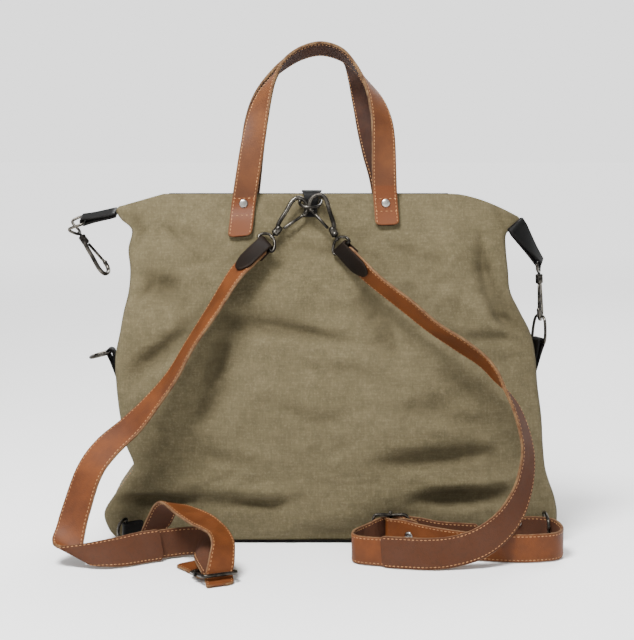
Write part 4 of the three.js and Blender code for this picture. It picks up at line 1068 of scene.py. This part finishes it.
class Paint:
    """Procedural material. Its methods make nodes and give back their sockets."""

    def __init__(self, name, metallic=0.0):
        self.material = bpy.data.materials.new(name)
        self.material.use_nodes = True
        self.tree = self.material.node_tree
        self.shader = self.tree.nodes["Principled BSDF"]
        self.shader.inputs["Metallic"].default_value = metallic
        self.place = self.node("ShaderNodeTexCoord", "Object")

    def node(self, kind, output, settings=None, **inputs):
        """New node with its inputs by name, or by number after an i. Text is a colour."""
        node = self.tree.nodes.new(kind)
        for key, value in (settings or {}).items():
            setattr(node, key, value)
        for key, value in inputs.items():
            place = int(key[1:]) if key[0] == "i" else key.replace("_", " ")
            socket = node.inputs[place]
            if isinstance(value, Val):
                self.tree.links.new(value.socket, socket)
            else:
                socket.default_value = hex_colour(value) if isinstance(value, str) else value
        return Val(self.tree, node.outputs[output])

    def noise(self, scale, detail=3.0, roughness=0.5, vector=None):
        return self.node(
            "ShaderNodeTexNoise", "Fac", Vector=vector or self.place, Scale=scale,
            Detail=detail, Roughness=roughness,
        )

    def cells(self, scale, feature="F1"):
        return self.node(
            "ShaderNodeTexVoronoi", "Distance", {"feature": feature}, Vector=self.place, Scale=scale
        )

    def value(self, name):
        return self.node("ShaderNodeAttribute", "Fac", {"attribute_name": name})

    def step(self, value, low, high, start=0.0, end=1.0):
        return self.node(
            "ShaderNodeMapRange", "Result", {"interpolation_type": "SMOOTHSTEP"}, Value=value,
            From_Min=low, From_Max=high, To_Min=start, To_Max=end,
        )

    def colour(self, factor, a, b, kind="MIX"):
        return self.node(
            "ShaderNodeMix", 2, {"data_type": "RGBA", "blend_type": kind}, i0=factor, i6=a, i7=b
        )

    def stretch(self, x, y, z):
        return self.node(
            "ShaderNodeVectorMath", "Vector", {"operation": "MULTIPLY"}, i0=self.place, i1=(x, y, z)
        )

    def axis(self, letter):
        return self.node("ShaderNodeSeparateXYZ", letter, Vector=self.place)

    def finish(self, colour, roughness, height=None, strength=0.3, depth=0.001):
        join = lambda value, name: self.tree.links.new(value.socket, self.shader.inputs[name])
        join(colour, "Base Color")
        join(roughness, "Roughness")
        if height:
            join(
                self.node("ShaderNodeBump", "Normal", Height=height, Strength=strength, Distance=depth),
                "Normal",
            )
        return self.material


def threads(paint, value, pitch, slub):
    """Height of threads of one direction, value is the coordinate across them in metres."""
    turns = (value + slub) * (2 * math.pi / pitch)
    return paint.node("ShaderNodeMath", 0, {"operation": "SINE"}, i0=turns) * 0.5 + 0.5


def canvas_paint():
    """Washed canvas: fine plain weave, uneven threads, soft wear, and painted shade in the folds,
    between the threads and on the side panels.
    """
    p = Paint("canvas_weave")
    panel = p.value("panel")
    x, y, z = p.axis("X"), p.axis("Y"), p.axis("Z")
    across = x * (1 - panel) + y * panel
    slub_a = (p.noise(90, 2) - 0.5) * 0.0008
    slub_b = (p.noise(70, 2, vector=p.stretch(1.3, 1.1, 0.8)) - 0.5) * 0.0008
    warp = threads(p, across, 0.0009, slub_a)
    weft = threads(p, z, 0.0009, slub_b)
    thick_warp = p.noise(1, 2, vector=p.stretch(640, 640, 60))
    thick_weft = p.noise(1, 2, vector=p.stretch(60, 60, 640))
    weave = warp * (0.35 + thick_warp) + weft * (0.35 + thick_weft)
    soft = p.noise(5, 4, 0.6)
    small = p.noise(85, 4, 0.65)
    base = p.colour(p.step(soft, 0.3, 0.7), "534b35", "5f563f")
    slubs = p.step(thick_warp * 0.5 + thick_weft * 0.5, 0.42, 0.66)
    base = p.colour(slubs * 0.16, base, "80765a")
    worn = p.noise(420, 3, 0.7)
    base = p.colour(p.step(small, 0.4, 0.66) * 0.3, base, "3f3827")
    base = p.colour(p.step(worn, 0.46, 0.74) * 0.3, base, "7d745c")
    # painted shade in the gaps between the threads, where the weave is low
    base = p.colour(p.step(weave, 0.25, 1.2, 0.22, 0.0), base, "2e291c")
    # painted shade in the folds
    base = p.colour(p.value("folded") * 0.4, base, "2f2817")
    # painted shade on the side panels: they are darker than the front and back
    base = p.colour(panel * 0.35, base, "4a432f")
    rough = p.step(small, 0.2, 0.8, 0.86, 0.98)
    height = weave * 0.4 + small * 0.7 + worn * 0.5 + soft * 0.2
    p.shader.inputs["Specular IOR Level"].default_value = 0.2
    return p.finish(base, rough, height, 0.6, 0.0008)


def leather_paint(name, outer, outer_dark, reverse, edge, rough=0.5, gloss=0.22):
    """Grained leather with a smooth outer face, a suede reverse and raw cut edges."""
    p = Paint(name)
    side = p.step(p.value("face"), -0.2, 0.2)
    rim = p.step(p.value("edge"), 1.25, 1.55)
    wear = p.step(p.value("edge"), 0.2, 1.0)
    cloud = p.noise(22, 4, 0.6)
    fine = p.noise(320, 3, 0.6)
    grain = p.cells(620)
    face = p.colour(p.step(cloud, 0.3, 0.72), outer_dark, outer)
    face = p.colour(p.step(fine, 0.35, 0.75) * 0.25, face, outer_dark)
    face = p.colour(wear * 0.14 * p.step(fine, 0.35, 0.6), face, edge)
    stain = p.step(p.noise(60, 5, 0.7), 0.35, 0.75) * 0.35
    back = p.colour(stain, reverse, outer_dark)
    back = p.colour(p.step(fine, 0.4, 0.8) * 0.4, back, "2f2117")
    face = p.colour(p.value("patch") * 0.75, face, "562a0b")
    base = p.colour(side, back, face)
    raw = p.colour(p.step(p.noise(180, 4, 0.7), 0.3, 0.75), edge, reverse)
    base = p.colour(rim * 0.8, base, raw)
    roughness = p.step(cloud, 0.3, 0.7, rough - 0.07, rough + 0.1) + (1 - side) * 0.3 + rim * 0.25
    height = p.step(grain, 0.0, 0.6) * 0.5 + fine * 0.5 + cloud * 0.4
    p.shader.inputs["Specular IOR Level"].default_value = gloss
    return p.finish(base, roughness, height, 0.35, 0.0004)


def metal_paint(name, bright, dark, rough):
    """Plated metal with a worn, slightly blotched finish."""
    p = Paint(name, 1.0)
    cloud = p.noise(70, 4, 0.6)
    fine = p.noise(420, 3)
    base = p.colour(p.step(cloud, 0.35, 0.68), dark, bright)
    scratches = p.noise(1, 2, vector=p.stretch(1400, 1400, 60))
    base = p.colour(p.step(scratches, 0.6, 0.75) * 0.3, base, bright)
    roughness = p.step(cloud, 0.3, 0.7, rough + 0.14, rough) + p.step(fine, 0.4, 0.8, 0.0, 0.08)
    return p.finish(base, roughness, fine * 0.4 + scratches * 0.3, 0.15, 0.0002)


def thread_paint(name, colour, dark, gloss=0.5):
    p = Paint(name)
    p.shader.inputs["Specular IOR Level"].default_value = gloss
    fine = p.noise(900, 2)
    base = p.colour(p.step(fine, 0.35, 0.65), dark, colour)
    return p.finish(base, p.step(fine, 0.3, 0.7, 0.6, 0.8), fine, 0.4, 0.0002)


canvas = canvas_paint()
tan_leather = leather_paint("tan_leather", "603210", "442109", "432718", "6d5539", 0.55)
handle_leather = leather_paint("handle_leather", "5c3416", "452510", "291710", "6d5539", 0.58)
brown_leather = leather_paint("brown_leather", "170e08", "0d0805", "130c07", "221910", 0.55, 0.1)
black_leather = leather_paint("black_leather", "0a0908", "050505", "080707", "131211", 0.5, 0.12)
nickel = metal_paint("antique_nickel", "5f5b54", "1f1d1b", 0.22)
silver = metal_paint("silver_rivet", "c4c1bb", "8a8782", 0.2)
light_thread = thread_paint("light_thread", "a8794a", "80572f")
dark_thread = thread_paint("dark_thread", "2b241e", "191511", 0.06)
zip_metal = metal_paint("zip_metal", "6e675c", "35312b", 0.35)


# The pieces

canvas_body().build("canvas_shell", canvas, "bag", "canvas", ("bag_body",))
for name, paint in (("base_panel", black_leather), ("zip", dark_thread)):
    materials = bpy.data.objects[name].data.materials
    materials.clear()
    materials.append(paint)

stitch_tree = repeat_tree("stitch_repeat", "stitch", light_thread)
dark_stitch_tree = repeat_tree("dark_stitch_repeat", "stitch", dark_thread)
tooth_tree = repeat_tree("tooth_repeat", "tooth", zip_metal)
STITCH = (3.0, 0.95, 0.75)

# Name, route, width, number of sections and sign of the finished side
STRAPS = [
    ("left_shoulder_strap", LEFT_STRAP, STRAP_WIDTH, 260, -1),
    ("right_shoulder_strap", RIGHT_STRAP, STRAP_WIDTH, 280, 1),
    ("left_end_strap", LEFT_END, END_STRAP_WIDTH, 220, -1),
    ("right_end_strap", RIGHT_END, END_STRAP_WIDTH, 220, -1),
    ("left_buckle_strap", LEFT_BUCKLE, END_STRAP_WIDTH, 220, 1),
    ("right_buckle_strap", RIGHT_BUCKLE, END_STRAP_WIDTH, 300, -1),
]
for name, rows, width, count, outer in STRAPS:
    run = route(rows, width, np.linspace(0, 1, count))
    band(run, STRAP_THICK, 3.0, 5.0, outer).build(
        name + "_leather", tan_leather, "bag", "tan_leather", (name,)
    )
    repeat(
        name + "_stitches", stitch_lines(run, STRAP_THICK), stitch_tree, STITCH, light_thread,
    )

# Name, route, sign of the finished side and length of the darker sewn ends
HANDLES = [("handle_near", NEAR_HANDLE, -1, 41), ("handle_far", FAR_HANDLE, 1, 30)]
CROSS_SEAMS = (22, 41, -28, -15)
for name, rows, outer, patch in HANDLES:
    run = route(rows, HANDLE_WIDTH, np.linspace(0, 1, 240))
    band(run, HANDLE_THICK, 5.0, 5.0, outer, patch).build(
        name + "_leather", handle_leather, "bag", "tan_leather", (name,)
    )
    lines = stitch_lines(run, HANDLE_THICK, 2.3, 3.7)
    far = travelled(run.centre)
    for away in CROSS_SEAMS:
        i = int(np.argmin(np.abs(far - away % far[-1])))
        for f in (-1, 1):
            c, s, n = run.centre[i], run.side[i], run.face[i]
            half = run.width[i] / 2 - 2.6
            ends = [c + s * half * e + n * f * (HANDLE_THICK / 2 - 0.06) for e in (-1, 1)]
            lines.append(seam(ends, n * f, 3.5))
    repeat(name + "_stitches", lines, stitch_tree, STITCH, light_thread)

top_run = route(TOP_TAB, TOP_TAB_WIDTH, np.linspace(0, 1, 60))
band(top_run, TOP_TAB_THICK, 2.0, 2.0).build(
    "top_tab_leather", black_leather, "bag", "black_leather", ("top_tab",)
)

top_ring = spot(-0.044, 0.318, 0.982)
d_ring("top_d_ring", top_ring, (1, 0, 0), (0, -1, -0.35), 21, 19)
left_bar, left_side, left_lines = strap_tab("left_strap_tab_leather", LEFT_STRAP, -1, 5)
right_bar, right_side, right_lines = strap_tab("right_strap_tab_leather", RIGHT_STRAP, 1, 4)
repeat(
    "strap_tab_stitches", left_lines + right_lines, dark_stitch_tree, (2.6, 0.8, 0.5), dark_thread,
)
STRAP_HOOKS = [
    ("left_strap_hook", left_bar, left_side, (-9.9, -7.28, -3.53), LEFT_GRIP, -1),
    ("right_strap_hook", right_bar, right_side, (9, -12.09, -3.53), RIGHT_GRIP, 1),
]
for name, bar, side, reach, grip, gate_side in STRAP_HOOKS:
    target = top_ring + np.array(reach)
    along = unit(target - bar)
    eye_width = STRAP_WIDTH * STRAP_NARROW + EYE_WIRE + 2 * EYE_SIDE_ROOM
    snap_hook(name, bar, target - along * grip, along, (0, -1, 0), side, eye_width, 0, gate_side)

tab_lines = []
left_ear_side = unit(np.array([0, 0.95, 0.3]))
left_ear = spot(-0.560, 0.42, 0.925)
tab_lines += seam_tab(
    "left_ear_tab", spot(-0.4868, 0.41, 0.946), left_ear, left_ear_side, left_ear_side,
    EAR_TAB_WIDE, TAB_WIDE,
)
snap_hook(
    "left_ear_hook", left_ear, spot(-0.562, 0.42, 0.866), (0.555, 0, -0.832),
    (0.787, -0.326, 0.525), left_ear_side, TAB_EYE, 12, 1, "left_ear_hook",
)
right_ear = spot(0.4790, 0.423, 0.805)
right_ear_side = unit(np.array([0.25, 0.93, 0.28]))
tab_lines += seam_tab(
    "right_ear_tab", spot(0.4200, 0.320, 0.915), right_ear, (0.74, 0.25, 0.62), right_ear_side,
    EAR_TAB_WIDE, TAB_WIDE,
)
snap_hook(
    "right_ear_hook", right_ear, right_ear + np.array([1, 0, -EYE_REACH]), (0.05, 0, -1),
    (-0.961, 0.276, 0), right_ear_side, TAB_EYE, 0, 1,
)
right_ring_side = unit(np.array([-0.34, 0.94, 0]))
# Name, seam, bar, side at each, width at each, and way out, width and depth of the ring
RING_TABS = [
    ("left_side", (-0.4830, 0.46, 0.445), (-0.5060, 0.46, 0.535), (0, 1, 0), (0, 1, 0),
     TAB_WIDE, TAB_WIDE, (-1, 0, -0.27), 24, 22),
    ("right_side", (0.4700, 0.43, 0.476), (0.4820, 0.427, 0.568), (0, 1, 0), right_ring_side,
     TAB_WIDE, TAB_WIDE, (0.06, 0, 1), 26, 27.5),
    ("left_foot", (-0.420, -0.058, 0.048), (-0.455, -0.098, 0.047), (0, 0, 1), (0, 0, 1),
     FOOT_TAB_WIDE, TAB_WIDE, (-0.4, -1, 0), 24, 17),
    ("right_foot", (0.450, -0.062, 0.0535), (0.478, -0.090, 0.0535), (0, 0, 1), (0, 0, 1),
     FOOT_TAB_WIDE, FOOT_TAB_WIDE, (0.1, -1, 0), 33, 22),
]
for name, start, bar, side, bar_side, width, bar_width, out, ring_width, deep in RING_TABS:
    bar = spot(*bar)
    tab_lines += seam_tab(name + "_tab", spot(*start), bar, side, bar_side, width, bar_width)
    d_ring(name + "_d_ring", bar, bar_side, out, ring_width, deep)
repeat(
    "tab_stitches", tab_lines, dark_stitch_tree, (2.4, 0.7, 0.45), dark_thread
)

buckle("right_buckle", spot(0.1345, -0.1692, 0.0525), (1, 0, 0), (0, 0, 1))
buckle("left_buckle", spot(-0.2422, -1.0046, 0.0215), (0.43, -0.9, 0.12), (-0.9, -0.43, 0))

for name, rows, t, toward in (
    ("near_left_rivet", NEAR_HANDLE, 0.100, -1),
    ("near_right_rivet", NEAR_HANDLE, 0.925, -1),
    ("far_left_rivet", FAR_HANDLE, 0.042, 1),
    ("far_right_rivet", FAR_HANDLE, 0.958, 1),
):
    leg = route(rows, HANDLE_WIDTH, [t])
    out = leg.face[0] * (1 if leg.face[0][1] * toward > 0 else -1)
    rivet(name, leg.centre[0] + out * (HANDLE_THICK / 2 + RIVET_LIFT - 0.5), out)
rivet("buckle_rivet", spot(0.1725, -0.2920, 0.0500), (-0.57, -0.82, 0))
rivet("ring_rivet", spot(0.4173, -0.1560, 0.0773), (0, -1, 0))

# Seams down the corners of the gussets
LEFT_BACK = FRONT_COLUMNS + SIDE_COLUMNS + BACK_COLUMNS
corner_lines = []
for column, way in (
    (FRONT_COLUMNS + 1, (0.9, -0.42, 0)),
    (FRONT_COLUMNS + SIDE_COLUMNS - 2, (0.9, 0.42, 0)),
    (LEFT_BACK + 1, (-0.9, 0.42, 0)),
    (LEFT_BACK + SIDE_COLUMNS - 2, (-0.9, -0.42, 0)),
):
    line = outer_line(column, 0.04, 0.86) + np.array(way) * 0.2
    corner_lines.append(seam(line, way, 3.8))
repeat("gusset_stitches", corner_lines, stitch_tree, (2.8, 0.7, 0.6), light_thread)

# Zip teeth along the slot
ZIP_TEETH, TEETH_FROM_LEFT, TEETH_FROM_RIGHT, TEETH_LIFT = 170, 52, 72, 0.2
up, left, right, front, back, tuck, puff, fall_l, fall_r = LEVELS[-1]
x = np.linspace(left * BAG_WIDTH + TEETH_FROM_LEFT, right * BAG_WIDTH - TEETH_FROM_RIGHT, ZIP_TEETH)
s = (x / BAG_WIDTH - left) / (right - left)
teeth = np.stack([
    x,
    np.full_like(x, (front + back) / 2 * BAG_DEPTH),
    level_height(up, fall_l, fall_r, s) + TEETH_LIFT,
], 1)
ahead, upward = (np.tile(way, (ZIP_TEETH, 1)) for way in ([1.0, 0, 0], [0, 0, 1.0]))
repeat(
    "zip_teeth", [(teeth, ahead, upward)], tooth_tree, (1.3, 4.2, 1.1), zip_metal, 0.02,
    smooth=False,
)


# Floor, lights and camera

floor_paint = Paint("pale_floor")
away = floor_paint.node(
    "ShaderNodeVectorMath", "Value", {"operation": "LENGTH"}, i0=floor_paint.place
)
# The floor glows: a painted glow that rises between these distances in metres, from none to bright, so
# that it has no horizon
painted_glow = floor_paint.step(away, 0.5, 4.5)
DIM, BRIGHT = (0, 0, 0, 1), (1.25, 1.25, 1.25, 1)
floor_paint.tree.links.new(
    floor_paint.colour(painted_glow, DIM, BRIGHT).socket, floor_paint.shader.inputs["Emission Color"]
)
floor_paint.shader.inputs["Emission Strength"].default_value = 1.0
FLOOR = floor_paint.finish(
    floor_paint.colour(floor_paint.noise(3) * 0.2, "fafafa", "f4f4f4"),
    floor_paint.noise(5) * 0.1 + 0.75,
)
HALF_FLOOR = 40
corners = [(x * HALF_FLOOR, y * HALF_FLOOR, 0) for x, y in ((-1, -1), (1, -1), (1, 1), (-1, 1))]
mesh = bpy.data.meshes.new("floor")
mesh.from_pydata(corners, [], [(0, 1, 2, 3)])
mesh.materials.append(FLOOR)
floor = bpy.data.objects.new("floor", mesh)
bpy.context.scene.collection.objects.link(floor)


def lamp(name, place, aim, size, power, colour=(1, 1, 1)):
    light = bpy.data.lights.new(name, "AREA")
    light.shape = "DISK"
    light.size = size
    light.energy = power
    light.color = colour
    obj = bpy.data.objects.new(name, light)
    obj.location = place
    obj.rotation_euler = (Vector(aim) - Vector(place)).to_track_quat("-Z", "Y").to_euler()
    bpy.context.scene.collection.objects.link(obj)


lamp("top_softbox", (-0.5, -0.8, 1.8), (0, 0, 0.1), 0.7, 95)
lamp("back_softbox", (0.6, 1.6, 1.9), (0, 0.3, 0.1), 1.2, 45)

world = bpy.data.worlds.new("white_room")
world.use_nodes = True
sky = world.node_tree.nodes["Background"]
sky.inputs["Color"].default_value = (1, 1, 1, 1)
place = world.node_tree.nodes.new("ShaderNodeTexCoord")
split = world.node_tree.nodes.new("ShaderNodeSeparateXYZ")
glow = world.node_tree.nodes.new("ShaderNodeMapRange")
for name, value in (("From Min", 0.12), ("From Max", 0.4), ("To Min", 1.9), ("To Max", 0.62)):
    glow.inputs[name].default_value = value
world.node_tree.links.new(place.outputs["Generated"], split.inputs["Vector"])
world.node_tree.links.new(split.outputs["Z"], glow.inputs["Value"])
world.node_tree.links.new(glow.outputs["Result"], sky.inputs["Strength"])
bpy.context.scene.world = world

# The photograph's angle: place and aim in metres, lens and sensor in millimetres
CAMERA_AT, CAMERA_AIM = Vector((0.005637, -1.490232, 0.400)), Vector((0.005637, 0.009768, 0.2288))
LENS, SENSOR = 84.94, 36.0
camera = bpy.data.objects.new("camera", bpy.data.cameras.new("camera"))
camera.data.sensor_width = SENSOR
camera.data.lens = LENS
camera.data.clip_start, camera.data.clip_end = 0.05, 50
camera.location = CAMERA_AT
camera.rotation_euler = (CAMERA_AIM - CAMERA_AT).to_track_quat("-Z", "Y").to_euler()
bpy.context.scene.collection.objects.link(camera)
bpy.context.scene.camera = camera
